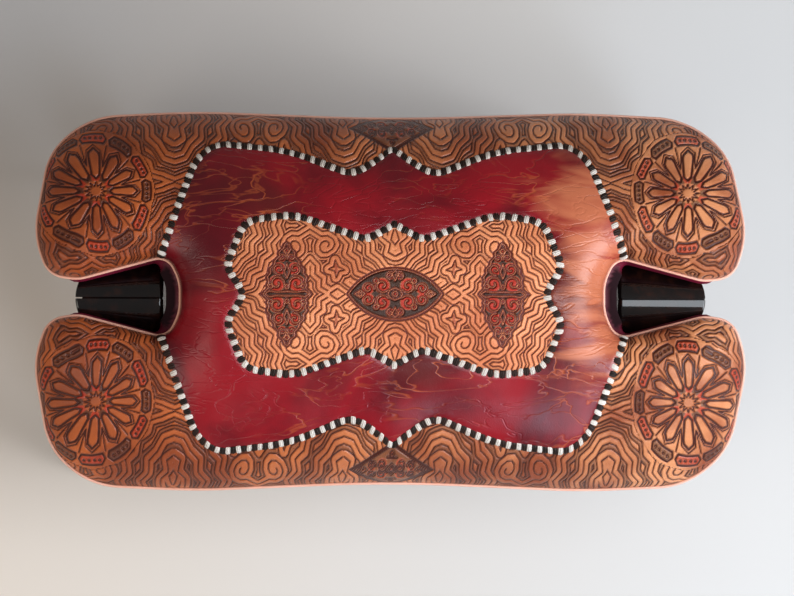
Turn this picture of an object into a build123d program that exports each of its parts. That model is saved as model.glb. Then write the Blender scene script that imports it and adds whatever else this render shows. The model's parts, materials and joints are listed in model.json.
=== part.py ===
"""A camel saddle stool: a stuffed leather cushion draped over two bent wooden arches.

The frame is two arches of curved cheeks, tied by rails, stretchers and cross ties.
The cushion has four lobes. A notch at each end lets the top of an arch show between
two lobes, and a channel below seats the lobes on that arch. Lengths are millimetres,
X runs along the cushion from front to rear, and Z is up from the floor.
"""

import math
import os

from build123d import *

os.makedirs("parts", exist_ok=True)

# Fits
rest_gap = 0.3
joint_gap = 0.1
lacing_gap = 0.3
overrun = 5.0

# Arch seen from the end
arch_height = 340.0
crown_radius = 40.0
flank_radius = 340.0
cheek_thickness = 28.0
shoulder_angle = 46.0
splay_angle = 78.0

# Arch seen from the side
horn_tip_reach = 288.0
horn_root_reach = 206.0
waist_outer_reach = 244.0
waist_inner_reach = 197.0
foot_outer_reach = 272.0
foot_inner_reach = 216.0
waist_height = 246.0
cheek_round = 4.0
nose_round = 2.0
seam_chamfer = 0.8
slit_width = 1.2
slit_length = 9.5
slit_depth = 12.0

# Rails
rail_angle = 51.0
rail_radius = 12.0
rail_tenon_radius = 8.0
tenon_proud = 3.0

# Stretchers
stretcher_height = 117.0
stretcher_end_radius = 10.0
stretcher_belly_radius = 13.0
bead_radius = 13.5
bead_length = 12.0
bead_pitch = 17.0
bead_reach = 128.0
stretcher_tenon_radius = 7.0

# Cross ties
tie_height = 158.0
tie_reach = 232.0
tie_radius = 10.0
tie_belly_radius = 12.5
tie_bead_reach = 58.0
tie_tenon_radius = 6.5
tie_tenon_depth = 20.0

# Dowels and pegs
dowel_radius = 4.0
dowel_length = 44.0
dowel_depth = 15.0
dowel_first_reach = 216.0
dowel_pitch = 20.0
dowel_count = 3
peg_radius = 3.0
peg_proud = 1.0

# Cushion
pad_length = 641.4
pad_width = 341.2
pad_depth = 98.0
top_side_drop = 80.0
top_end_drop = 35.0
base_side_drop = 45.0
seam_share = 0.56
top_round = 18.0
base_round = 12.0
cover_thickness = 2.0
piping_width = 3.0

# Cushion outline, one quarter
waist_draw_in = 7.3
waist_radius = 1500.0
flank_turn_radius = 700.0
corner_radius = 75.0
end_radius = 60.0
lobe_radius = 75.0
nose_radius = 28.0
mouth_radius = 34.0
mouth_half_gap = 17.0
mouth_inset = 38.5
notch_half_width = 38.5
notch_floor_reach = 189.8
notch_corner_run = 11.7
notch_flat_half = 14.0
notch_corner_radius = 17.5
notch_floor_radius = 40.0
lobe_x_shares = (0.544, 0.840, 0.958, 1.0, 0.961)
lobe_y_shares = (1.0, 0.975, 0.787, 0.336, 0.122)

# Border seam, one quarter
border_seam_reach = 213.0
border_seam_start = 27.0
border_seam_height = 136.5
border_cusp_height = 130.0
border_valley_radius = 22.0
border_rise_radius = 200.0
border_corner_radius = 32.0
border_x_shares = (0.174, 0.413, 0.808)
border_y_shares = (0.795, 0.941, 1.0)

# Centre seam, one quarter
centre_seam_reach = 150.0
centre_seam_height = 72.0
centre_cusp_height = 63.0
centre_dent_reach = 134.5
centre_valley_radius = 14.0
centre_rise_radius = 55.0
centre_corner_radius = 21.0
centre_side_radius = 21.0
centre_dent_radius = 12.0
centre_x_shares = (0.167, 0.600, 0.893, 1.0)
centre_y_shares = (0.681, 1.0, 0.917, 0.361)

# Lacing
stitch_width = 8.2
stitch_length = 3.2
stitch_height = 3.0
stitch_side_angle = 68.0
border_stitch_count = 54
centre_stitch_count = 77
border_lacing_margin = 27.0
lacing_spread = 1.3

# Worked out
half_length = pad_length / 2
half_width = pad_width / 2
cheek_middle_reach = (waist_outer_reach + waist_inner_reach) / 2
fillet_limit_share = 0.498
middle_share = 0.5


def arc_radius(half_chord, rise):
    """Radius of the arc with that half chord and rise."""
    return (half_chord**2 + rise**2) / (2 * rise)


def arch_point(angle, outset=0):
    """Point of the arch's outline, in Y and Z, where its normal leans by angle from Z."""
    lean, shoulder = math.radians(angle), math.radians(shoulder_angle)
    if angle <= shoulder_angle:
        y = (crown_radius + outset) * math.sin(lean)
        z = arch_height - crown_radius + (crown_radius + outset) * math.cos(lean)
        return y, z
    y = crown_radius * math.sin(shoulder)
    z = arch_height - crown_radius + crown_radius * math.cos(shoulder)
    y += flank_radius * (math.sin(lean) - math.sin(shoulder)) + outset * math.sin(lean)
    z += flank_radius * (math.cos(lean) - math.cos(shoulder)) + outset * math.cos(lean)
    return y, z


def leg_point(height, outset=0):
    """Point of the arch's straight leg at that height."""
    lean = math.radians(splay_angle)
    y, z = arch_point(splay_angle, outset)
    return y + (z - height) * math.cos(lean) / math.sin(lean), height


def half_arch_curve(outset=0):
    """Edges of half the arch's outline, from the crown to the floor."""
    crown_middle = arch_point(shoulder_angle * middle_share, outset)
    flank_middle = arch_point(
        shoulder_angle + (splay_angle - shoulder_angle) * middle_share, outset
    )
    crown = ThreePointArc(
        arch_point(0, outset), crown_middle, arch_point(shoulder_angle, outset)
    )
    flank = ThreePointArc(crown @ 1, flank_middle, arch_point(splay_angle, outset))
    Line(flank @ 1, leg_point(0, outset))


# Heights that follow the frame
rail_y, rail_z = arch_point(rail_angle, -cheek_thickness / 2)
base_radius = arc_radius(half_width, base_side_drop)
base_centre = rail_z - math.sqrt((base_radius - rail_radius - rest_gap) ** 2 - rail_y**2)
base_crown = base_centre + base_radius
pad_crown = base_crown + pad_depth
top_radius = arc_radius(half_width, top_side_drop)
top_sweep_radius = arc_radius(half_length, top_end_drop)
seam_crown = base_crown + pad_depth * seam_share
seam_side_drop = base_side_drop + (top_side_drop - base_side_drop) * seam_share
seam_end_drop = top_end_drop * seam_share
seam_radius = arc_radius(half_width, seam_side_drop)
seam_sweep_radius = arc_radius(half_length, seam_end_drop)
stretcher_y = leg_point(stretcher_height, -cheek_thickness / 2)[0]
tie_shoulder_y = leg_point(tie_height, -cheek_thickness)[0]


# Outlines
def four_quarters(quarter, radii):
    """Closed loop of points and radii from a quarter that starts on the Y axis."""
    turned = list(zip(quarter, radii))
    back = turned[-2::-1] if quarter[-1][1] == 0 else turned[::-1]
    loop = turned + [((x, -y), radius) for (x, y), radius in back]
    loop += [((-x, -y), radius) for (x, y), radius in turned[1:]]
    loop += [((-x, y), radius) for (x, y), radius in back[:-1]]
    return [point for point, radius in loop], [radius for point, radius in loop]


def held_radii(points, radii, closed=True):
    """The radii, each limited by the two stretches that its fillet lies on."""
    held = []
    count = len(points)
    corners = range(count) if closed else range(1, count - 1)
    for corner, radius in zip(corners, radii):
        here = Vector(*points[corner])
        back = here - Vector(*points[corner - 1])
        ahead = Vector(*points[(corner + 1) % count]) - here
        half_turn = math.radians(back.get_angle(ahead)) / 2
        room = fillet_limit_share * min(back.length, ahead.length)
        held.append(min(radius, room / math.tan(half_turn)))
    return held


pad_quarter = (
    [(0, half_width - waist_draw_in)]
    + [(x * half_length, y * half_width) for x, y in zip(lobe_x_shares, lobe_y_shares)]
    + [
        (half_length - mouth_inset, mouth_half_gap),
        (notch_floor_reach + notch_corner_run, notch_half_width),
        (notch_floor_reach, notch_flat_half),
    ]
)
pad_radii = [
    waist_radius,
    flank_turn_radius,
    corner_radius,
    end_radius,
    lobe_radius,
    nose_radius,
    mouth_radius,
    notch_corner_radius,
    notch_floor_radius,
]
border_quarter = (
    [(0, border_cusp_height)]
    + [
        (x * border_seam_reach, y * border_seam_height)
        for x, y in zip(border_x_shares, border_y_shares)
    ]
    + [(border_seam_reach, border_seam_start)]
)
border_radii = [border_valley_radius, border_rise_radius, border_corner_radius]
centre_quarter = (
    [(0, centre_cusp_height)]
    + [
        (x * centre_seam_reach, y * centre_seam_height)
        for x, y in zip(centre_x_shares, centre_y_shares)
    ]
    + [(centre_dent_reach, 0)]
)
centre_radii = [
    0,
    centre_valley_radius,
    centre_rise_radius,
    centre_corner_radius,
    centre_side_radius,
    centre_dent_radius,
]


def loop_sketch(quarter, radii):
    """Face inside a closed outline with rounded corners, from one quarter of it."""
    points, radii = four_quarters(quarter, radii)
    with BuildSketch() as outline:
        with BuildLine():
            FilletPolyline(*points, radius=held_radii(points, radii), close=True)
        make_face()
    return outline.sketch


def pad_outline(outset):
    """The cushion's outline seen from above."""
    with BuildSketch() as outline:
        add(loop_sketch(pad_quarter, pad_radii))
        if outset:
            offset(amount=outset)
    return outline.sketch


# Domes
def dome(crown, cross_radius, sweep_radius, grow=0):
    """Solid under a dome: an arc across Y, swept along X on a wide arc."""
    axis_height = crown - sweep_radius
    reach = half_length + abs(grow) + overrun
    half_sweep = math.degrees(math.asin(reach / (sweep_radius - cross_radius)))
    lean = math.radians(half_sweep)
    start = Plane(
        origin=(0, 0, axis_height), x_dir=(0, 1, 0), z_dir=(math.cos(lean), 0, math.sin(lean))
    )
    with BuildPart() as solid:
        with BuildSketch(start):
            with Locations((0, sweep_radius - cross_radius)):
                Circle(cross_radius + grow)
                Rectangle(
                    2 * cross_radius + 2 * abs(grow) + overrun,
                    cross_radius + abs(grow) + overrun,
                    align=(Align.CENTER, Align.MAX),
                    mode=Mode.SUBTRACT,
                )
        revolve(axis=Axis((0, 0, axis_height), (0, 1, 0)), revolution_arc=2 * half_sweep)
    return solid.part


def seam_dome():
    """Solid under the surface that the piped seam lies on."""
    return dome(seam_crown, seam_radius, seam_sweep_radius)


def base_vault(grow=0):
    """Solid under the cushion's arched underside."""
    with BuildPart() as vault:
        with BuildSketch(Plane.YZ):
            with Locations((0, base_centre)):
                Circle(base_radius - grow)
        extrude(amount=half_length + overrun, both=True)
    return vault.part


def arch_channel(grow=0):
    """The room that the cushion leaves for both arches."""
    outset = rest_gap - grow
    with BuildPart() as channel:
        for end in (-1, 1):
            with BuildSketch(Plane.YZ.offset(end * (waist_inner_reach - outset))):
                with BuildLine():
                    half_arch_curve(outset)
                    Line(leg_point(0, outset), (0, 0))
                    Line((0, 0), arch_point(0, outset))
                make_face()
                mirror(about=Plane.YZ)
            extrude(amount=end * (horn_tip_reach - waist_inner_reach + 2 * outset))
    return channel.part


def pad(grow=0):
    """The cushion's whole body, grown or shrunk on every side."""
    with BuildPart() as body:
        with BuildSketch(Plane.XY.offset(base_centre)):
            add(pad_outline(grow))
        extrude(amount=pad_crown + overrun - base_centre)
        add(dome(pad_crown, top_radius, top_sweep_radius, grow), mode=Mode.INTERSECT)
        add(base_vault(grow), mode=Mode.SUBTRACT)
        top_face = body.faces().filter_by(GeomType.TORUS).sort_by(SortBy.AREA)[-1]
        fillet(top_face.edges(), radius=top_round + grow)
        base_face = body.faces().filter_by(GeomType.CYLINDER).sort_by(SortBy.AREA)[-1]
        fillet(base_face.edges(), radius=base_round + grow)
        add(arch_channel(grow), mode=Mode.SUBTRACT)
    return body.part


# Covers and stuffing
with BuildPart() as cushion_core:
    add(pad(-cover_thickness))

with BuildPart() as cover:
    add(pad())
    add(cushion_core.part, mode=Mode.SUBTRACT)


def prism(sketch):
    """A sketch of the plan, extruded through the cushion's whole height."""
    with BuildPart() as column:
        with BuildSketch(Plane.XY.offset(base_centre)):
            add(sketch)
        extrude(amount=pad_crown + overrun - base_centre)
    return column.part


centre_prism = prism(loop_sketch(centre_quarter, centre_radii))
border_prism = prism(loop_sketch(border_quarter, [0] + border_radii + [0]))

with BuildPart() as top_cover:
    add(cover.part)
    add(seam_dome(), mode=Mode.SUBTRACT)

with BuildPart() as centre_panel:
    add(top_cover.part)
    add(centre_prism, mode=Mode.INTERSECT)

with BuildPart() as oxblood_band:
    add(top_cover.part)
    add(border_prism, mode=Mode.INTERSECT)
    add(centre_prism, mode=Mode.SUBTRACT)

with BuildPart() as borders:
    add(top_cover.part)
    add(border_prism, mode=Mode.SUBTRACT)


def border_panel(side):
    """The embossed border leather on one side, with its two lobes."""
    with BuildPart() as panel:
        add(borders.solids().sort_by(Axis.Y)[-1 if side > 0 else 0])
    return panel.part


def base_panel(side):
    """The plain leather under one side, up to the piped seam."""
    with BuildPart() as panel:
        add(cover.part)
        add(seam_dome(), mode=Mode.INTERSECT)
        split(bisect_by=Plane.XZ, keep=Keep.BOTTOM if side > 0 else Keep.TOP)
    return panel.part


with BuildPart() as piping:
    with BuildSketch(Plane.XY.offset(base_centre)):
        add(pad_outline(piping_width))
        add(pad_outline(0), mode=Mode.SUBTRACT)
    extrude(amount=pad_crown - base_centre)
    add(dome(seam_crown, seam_radius, seam_sweep_radius, piping_width / 2), mode=Mode.INTERSECT)
    add(dome(seam_crown, seam_radius, seam_sweep_radius, -piping_width / 2), mode=Mode.SUBTRACT)


# Lacing
def top_surface(x, y):
    """Height and outward normal of the cushion's top surface above a point of the plan."""
    axis_height = pad_crown - top_sweep_radius
    across = math.sqrt(top_radius**2 - y**2)
    reach = top_sweep_radius - top_radius + across
    along = math.sqrt(reach**2 - x**2)
    return axis_height + along, Vector(x / along, y * reach / (across * along), 1).normalized()


with BuildPart() as stitch:
    with BuildSketch(Plane.XZ):
        Trapezoid(
            stitch_length, stitch_height, stitch_side_angle, align=(Align.CENTER, Align.MIN)
        )
    extrude(amount=stitch_width / 2, both=True)


def lacing_places(seam, count, margin=0):
    """Places for black and white stitches by turns along a seam in the plan."""
    places = []
    pitch = (seam.length - 2 * margin) / (2 * count)
    for number in range(2 * count):
        share = (margin + pitch * (number + middle_share)) / seam.length
        spread = pitch * lacing_spread / seam.length
        point = seam @ share
        heading = seam @ ((share + spread) % 1) - seam @ ((share - spread) % 1)
        height, normal = top_surface(point.X, point.Y)
        along = heading - normal * heading.dot(normal)
        origin = Vector(point.X, point.Y, height) + normal * lacing_gap
        places.append(Plane(origin=origin, x_dir=along, z_dir=normal).location)
    return places


def lacing(places):
    """A run of stitches, one solid each."""
    with BuildPart() as run:
        with Locations(*places):
            add(stitch.part)
    return run.part


def border_seam(side):
    """The border seam on one side, from notch to notch."""
    right = [(x, side * y) for x, y in border_quarter]
    left = [(-x, y) for x, y in right[:0:-1]]
    points = left + right
    radii = border_radii[::-1] + [0] + border_radii
    with BuildLine() as seam:
        FilletPolyline(*points, radius=held_radii(points, radii, closed=False))
    return seam.wire()


centre_seam = loop_sketch(centre_quarter, centre_radii).face().outer_wire()
seams = {
    "right": lacing_places(border_seam(1), border_stitch_count, border_lacing_margin),
    "left": lacing_places(border_seam(-1), border_stitch_count, border_lacing_margin),
    "centre": lacing_places(centre_seam, centre_stitch_count),
}


# Frame
upper_face_radius = arc_radius(arch_height - waist_height, horn_tip_reach - waist_outer_reach)
lower_face_radius = arc_radius(waist_height, foot_outer_reach - waist_outer_reach)


def outer_face_reach(height):
    """How far out in X the arch's outer face stands at that height."""
    radius = upper_face_radius if height > waist_height else lower_face_radius
    return waist_outer_reach + radius - math.sqrt(radius**2 - (height - waist_height) ** 2)


with BuildPart() as cheek_blank:
    with BuildSketch(Plane.YZ):
        with BuildLine():
            half_arch_curve()
            Line(leg_point(0), leg_point(0, -cheek_thickness))
            half_arch_curve(-cheek_thickness)
            Line(arch_point(0, -cheek_thickness), arch_point(0))
        make_face()
    extrude(amount=horn_tip_reach)
    with BuildSketch(Plane.XZ):
        with BuildLine():
            tip, top = (horn_tip_reach, arch_height), arch_height + overrun
            waist_out, waist_in = (waist_outer_reach, waist_height), (waist_inner_reach, waist_height)
            root = (horn_root_reach, arch_height)
            foot_out, foot_in = (foot_outer_reach, 0), (foot_inner_reach, 0)
            TangentArc(waist_out, tip, tangent=(0, 1))
            Polyline(tip, (horn_tip_reach, top), (horn_root_reach, top), root)
            TangentArc(waist_in, root, tangent=(0, 1))
            TangentArc(waist_in, foot_in, tangent=(0, -1))
            Line(foot_in, foot_out)
            TangentArc(waist_out, foot_out, tangent=(0, -1))
        make_face()
    extrude(amount=-(leg_point(0)[0] + overrun), mode=Mode.INTERSECT)
    curved = cheek_blank.edges().filter_by(GeomType.LINE, reverse=True)
    free = [e for e in curved if min(e.bounding_box().max.Y, e.bounding_box().max.Z) > overrun]
    fillet([e for e in free if e.center().X > cheek_middle_reach], radius=nose_round)
    fillet([e for e in free if e.center().X < cheek_middle_reach], radius=cheek_round)

rail_tenon_reach = outer_face_reach(rail_z + rail_tenon_radius) + tenon_proud
stretcher_tenon_reach = outer_face_reach(stretcher_height - stretcher_tenon_radius) + tenon_proud
dowel_height = arch_height - dowel_depth
dowel_reaches = [dowel_first_reach + dowel_pitch * number for number in range(dowel_count)]
tie_peg_y = tie_shoulder_y + tie_tenon_depth / 2


def rod(start, direction, radius, length):
    """A round rod from a point, along a direction."""
    with BuildPart() as bar:
        with BuildSketch(Plane(origin=start, z_dir=direction)):
            Circle(radius)
        extrude(amount=length)
    return bar.part


def rail_peg(gap=0):
    """Peg through a seat rail's tenon, driven from inside the arch and stopped in the wood."""
    lean = math.radians(rail_angle)
    y, z = arch_point(rail_angle, -cheek_thickness - peg_proud)
    length = cheek_thickness / 2 + rail_tenon_radius + peg_proud + gap
    return rod((cheek_middle_reach, y, z), (0, math.sin(lean), math.cos(lean)), peg_radius + gap, length)


def stretcher_peg(gap=0):
    """Peg through a stretcher's tenon, from the outside of the leg to its inside."""
    lean = math.radians(splay_angle)
    out = cheek_thickness / 2 + peg_proud
    start = (
        cheek_middle_reach,
        stretcher_y + out * math.sin(lean),
        stretcher_height + out * math.cos(lean),
    )
    length = cheek_thickness + peg_proud + gap
    return rod(start, (0, -math.sin(lean), -math.cos(lean)), peg_radius + gap, length)


def tie_peg(gap=0):
    """Peg through a cross tie's tenon, from the arch's outer face."""
    start = outer_face_reach(tie_height) + peg_proud
    length = start - tie_reach + tie_tenon_radius + gap
    return rod((start, tie_peg_y, tie_height), (-1, 0, 0), peg_radius + gap, length)


def crown_dowel(reach, gap=0):
    """Dowel across the seam between two cheeks."""
    length = dowel_length + 2 * gap
    return rod((reach, -length / 2, dowel_height), (0, 1, 0), dowel_radius + gap, length)


with BuildPart() as cheek_body:
    add(cheek_blank.part)
    ridge = cheek_body.edges().filter_by(GeomType.LINE).filter_by(Axis.X).group_by(Axis.Z)[-1]
    chamfer(ridge.group_by(Axis.Y)[0], length=seam_chamfer)
    rod_sizes = (
        ((0, rail_y, rail_z), (1, 0, 0), rail_tenon_radius + joint_gap, horn_tip_reach),
        ((0, stretcher_y, stretcher_height), (1, 0, 0), stretcher_tenon_radius + joint_gap, horn_tip_reach),
        ((tie_reach, 0, tie_height), (0, 1, 0), tie_tenon_radius + joint_gap,
         tie_shoulder_y + tie_tenon_depth + rest_gap),
    )
    for start, direction, radius, length in rod_sizes:
        add(rod(start, direction, radius, length), mode=Mode.SUBTRACT)
    for peg in (rail_peg(joint_gap), stretcher_peg(joint_gap), tie_peg(joint_gap)):
        add(peg, mode=Mode.SUBTRACT)
    for reach in dowel_reaches:
        add(crown_dowel(reach, joint_gap), mode=Mode.SUBTRACT)

with BuildPart() as slit:
    with BuildSketch(Plane.XY.offset(arch_height)):
        with Locations((horn_tip_reach, 0)):
            Rectangle(2 * slit_length, slit_width)
    extrude(amount=-slit_depth)


def every_corner(piece):
    """A piece and its mirror images at all four legs."""
    with BuildPart() as corners:
        add(piece)
        mirror(about=Plane.XZ)
        mirror(about=Plane.YZ)
    return corners.part


def cheek(end, side):
    """One cheek: end is +1 at the rear and -1 at the front, side is +1 on the right."""
    with BuildPart() as body:
        add(cheek_body.part)
        if side < 0:
            mirror(about=Plane.XZ, mode=Mode.REPLACE)
        if end < 0:
            mirror(about=Plane.YZ, mode=Mode.REPLACE)
            add(slit.part.mirror(Plane.YZ), mode=Mode.SUBTRACT)
    return body.part


with BuildPart() as blanks:
    add(every_corner(cheek_blank.part))


def turned_profile(belly_radius, end_radius, reach, bead_reaches):
    """Half section of a turned bar about X, with a bead at each of some places."""
    with BuildSketch() as profile:
        with BuildLine():
            neck = bead_reaches[0] - bead_length / 2
            TangentArc((0, belly_radius), (neck, end_radius), tangent=(1, 0))
            for place, following in zip(bead_reaches, bead_reaches[1:] + [reach + bead_length / 2]):
                left, right = (place - bead_length / 2, end_radius), (place + bead_length / 2, end_radius)
                ThreePointArc(left, (place, bead_radius), right)
                Line(right, (following - bead_length / 2, end_radius))
            Polyline((reach, end_radius), (reach, 0), (0, 0), (0, belly_radius))
        make_face()
        mirror(about=Plane.YZ)
    return profile.sketch


def stretcher(side):
    """A turned stretcher between the front and rear legs of one side."""
    y = side * stretcher_y
    with BuildPart() as bar:
        with BuildSketch(Plane.XZ.offset(-y)):
            with Locations((0, stretcher_height)):
                add(turned_profile(
                    stretcher_belly_radius,
                    stretcher_end_radius,
                    foot_inner_reach,
                    [bead_reach, bead_reach + bead_pitch],
                ))
        revolve(axis=Axis((0, y, stretcher_height), (1, 0, 0)))
        add(blanks.part, mode=Mode.SUBTRACT)
        with BuildSketch(Plane.YZ):
            with Locations((y, stretcher_height)):
                Circle(stretcher_tenon_radius)
        extrude(amount=stretcher_tenon_reach, both=True)
        add(every_corner(stretcher_peg(joint_gap)), mode=Mode.SUBTRACT)
    return bar.part


def seat_rail(side):
    """A plain rail under the cushion, with a round tenon through each arch."""
    with BuildPart() as bar:
        with BuildSketch(Plane.YZ):
            with Locations((side * rail_y, rail_z)):
                Circle(rail_radius)
        extrude(amount=horn_root_reach, both=True)
        add(blanks.part, mode=Mode.SUBTRACT)
        with BuildSketch(Plane.YZ):
            with Locations((side * rail_y, rail_z)):
                Circle(rail_tenon_radius)
        extrude(amount=rail_tenon_reach, both=True)
        add(every_corner(rail_peg(joint_gap)), mode=Mode.SUBTRACT)
    return bar.part


def cross_tie(end):
    """A turned tie between the two legs of one arch."""
    x = end * tie_reach
    with BuildPart() as bar:
        with BuildSketch(Plane.YZ.offset(x)):
            with Locations((0, tie_height)):
                add(turned_profile(
                    tie_belly_radius, tie_radius, tie_shoulder_y + cheek_thickness / 2, [tie_bead_reach]
                ))
        revolve(axis=Axis((x, 0, tie_height), (0, 1, 0)))
        add(blanks.part, mode=Mode.SUBTRACT)
        with BuildSketch(Plane.XZ):
            with Locations((x, tie_height)):
                Circle(tie_tenon_radius)
        extrude(amount=tie_shoulder_y + tie_tenon_depth, both=True)
        add(every_corner(tie_peg(joint_gap)), mode=Mode.SUBTRACT)
    return bar.part


def crown_dowels(end):
    """The dowels that hold the two cheeks of one arch together."""
    with BuildPart() as group:
        for reach in dowel_reaches:
            add(crown_dowel(end * reach))
    return group.part


def write(piece, label):
    """Label one finished piece and write it."""
    piece.label = label
    export_step(piece, f"parts/{label}.step")


# Files
ends, sides = {"front": -1, "rear": 1}, {"left": -1, "right": 1}
for end_name, end in ends.items():
    for side_name, side in sides.items():
        write(cheek(end, side), f"{end_name}_{side_name}_cheek")
    write(crown_dowels(end), f"{end_name}_crown_dowels")
    write(cross_tie(end), f"{end_name}_cross_tie")
for side_name, side in sides.items():
    write(seat_rail(side), f"{side_name}_seat_rail")
    write(stretcher(side), f"{side_name}_stretcher")
    write(border_panel(side), f"{side_name}_border_panel")
    write(base_panel(side), f"{side_name}_base_panel")
write(every_corner(rail_peg()), "seat_rail_pegs")
write(every_corner(stretcher_peg()), "stretcher_pegs")
write(every_corner(tie_peg()), "cross_tie_pegs")
write(cushion_core.part, "cushion_core")
write(centre_panel.part, "centre_panel")
write(oxblood_band.part, "oxblood_band")
write(piping.part, "piping")
for seam_name, places in seams.items():
    write(lacing(places[0::2]), f"{seam_name}_lacing_black")
    write(lacing(places[1::2]), f"{seam_name}_lacing_white")
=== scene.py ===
"""Dress the camel saddle stool: embossed leather, lacing, piping and lacquered wood."""

import json
import logging
import math
from dataclasses import dataclass
from enum import Enum
from typing import Callable

import bpy
import numpy as np
from mathutils import Matrix, Vector


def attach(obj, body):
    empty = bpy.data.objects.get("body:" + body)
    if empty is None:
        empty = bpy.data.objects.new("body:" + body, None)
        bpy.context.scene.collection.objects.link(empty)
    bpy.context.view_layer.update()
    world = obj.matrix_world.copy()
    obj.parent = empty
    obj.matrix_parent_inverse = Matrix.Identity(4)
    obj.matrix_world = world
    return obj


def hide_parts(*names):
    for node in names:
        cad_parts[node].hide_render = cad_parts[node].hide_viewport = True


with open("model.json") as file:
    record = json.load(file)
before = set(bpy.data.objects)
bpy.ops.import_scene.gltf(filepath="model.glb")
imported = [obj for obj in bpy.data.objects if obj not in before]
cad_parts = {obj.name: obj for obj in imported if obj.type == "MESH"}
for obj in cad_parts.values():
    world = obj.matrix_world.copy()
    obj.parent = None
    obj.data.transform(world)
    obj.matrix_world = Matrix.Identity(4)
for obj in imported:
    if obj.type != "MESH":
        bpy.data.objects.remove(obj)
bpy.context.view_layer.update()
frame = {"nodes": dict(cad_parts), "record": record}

LOG = logging.getLogger("stool")
MM = 0.001
Points = list[tuple[float, float]]
Colour = tuple[float, float, float, float]

IMAGE_WIDTH, IMAGE_HEIGHT = 794, 596
CROWN_PIXEL = (395.0, 294.0)
MM_PER_PIXEL = 0.892
CAMERA_DISTANCE = 6.0
CAMERA_LEAN = (-0.050, -0.060)
SENSOR_WIDTH = 36.0


class Motif(Enum):
    """The ornaments pressed into the leather."""

    ROSETTE = "rosette"
    ALMOND = "almond"
    PALMETTE = "palmette"
    DIAMOND = "diamond"


class Layer(Enum):
    """Which side of the piped seam a sheet of leather lies on."""

    TOP = 1
    BASE = -1


class Thong(Enum):
    """The colours of thong that are laced by turns."""

    BLACK = "black"
    WHITE = "white"


@dataclass(frozen=True)
class PadSizes:
    """Sizes of the cushion in millimetres, as the frame holds them."""

    half_length: float = 320.7
    half_width: float = 170.6
    crown: float = 409.1
    seam_crown: float = 366.0
    base_crown: float = 311.1
    side_drop: float = 80.0
    end_drop: float = 35.0
    base_drop: float = 45.0
    seam_share: float = 0.56
    edge_roll: float = 52.0
    edge_power: float = 2.3
    arch_top: float = 340.0
    arch_crown: float = 40.0
    arch_flank: float = 340.0
    arch_shoulder: float = math.radians(46.0)
    arch_inner: float = 197.0
    arch_tip: float = 288.0
    rest_gap: float = 1.2
    notch_bulge: float = 13.5
    mouth_bulge: float = 4.0
    bulge_end: tuple[float, float] = (196.0, 216.0)
    notch_inner: tuple[float, float] = (172.0, 190.0)
    notch_mouth: tuple[float, float] = (284.0, 302.0)
    notch_side: tuple[float, float] = (38.0, 46.0)
    groove_depth: float = 1.7
    groove_reach: float = 3.4
    soft_inset: tuple[float, float] = (2.0, 30.0)
    lip_share: tuple[float, float] = (0.3, 0.9)
    bulge_rate: float = 2.2
    # where the underside gets painted shade at the notches' inner ends
    shade_end_inner: tuple[float, float] = (178.0, 190.0)
    shade_end_outer: tuple[float, float] = (196.0, 208.0)
    shade_end_side: tuple[float, float] = (38.0, 44.0)
    shade_end_inset: tuple[float, float] = (1.0, 3.0)


PAD = PadSizes()

PAD_QUARTER: Points = [
    (0.0, 163.3),
    (174.5, 170.6),
    (269.4, 166.3),
    (307.2, 134.3),
    (320.7, 57.3),
    (308.2, 20.8),
    (282.2, 17.0),
    (201.5, 38.5),
    (189.8, 14.0),
]
PAD_RADII = [1500.0, 700.0, 75.0, 60.0, 75.0, 28.0, 34.0, 17.5, 40.0]
BORDER_QUARTER: Points = [(0.0, 130.0), (37.1, 108.5), (88.0, 128.4), (172.1, 136.5), (213.0, 27.0)]
BORDER_RADII = [0.0, 22.0, 200.0, 32.0, 0.0]
CENTRE_QUARTER: Points = [(0.0, 63.0), (25.1, 49.0), (90.0, 72.0), (134.0, 66.0), (150.0, 26.0), (134.5, 0.0)]
CENTRE_RADII = [0.0, 14.0, 55.0, 21.0, 21.0, 12.0]
FAR = 1e3
HEADING_REACH = 5.5


def arc_radius(half_chord: float, rise: float) -> float:
    """Radius of the arc with that half chord and rise."""
    return (half_chord**2 + rise**2) / (2 * rise)


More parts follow.
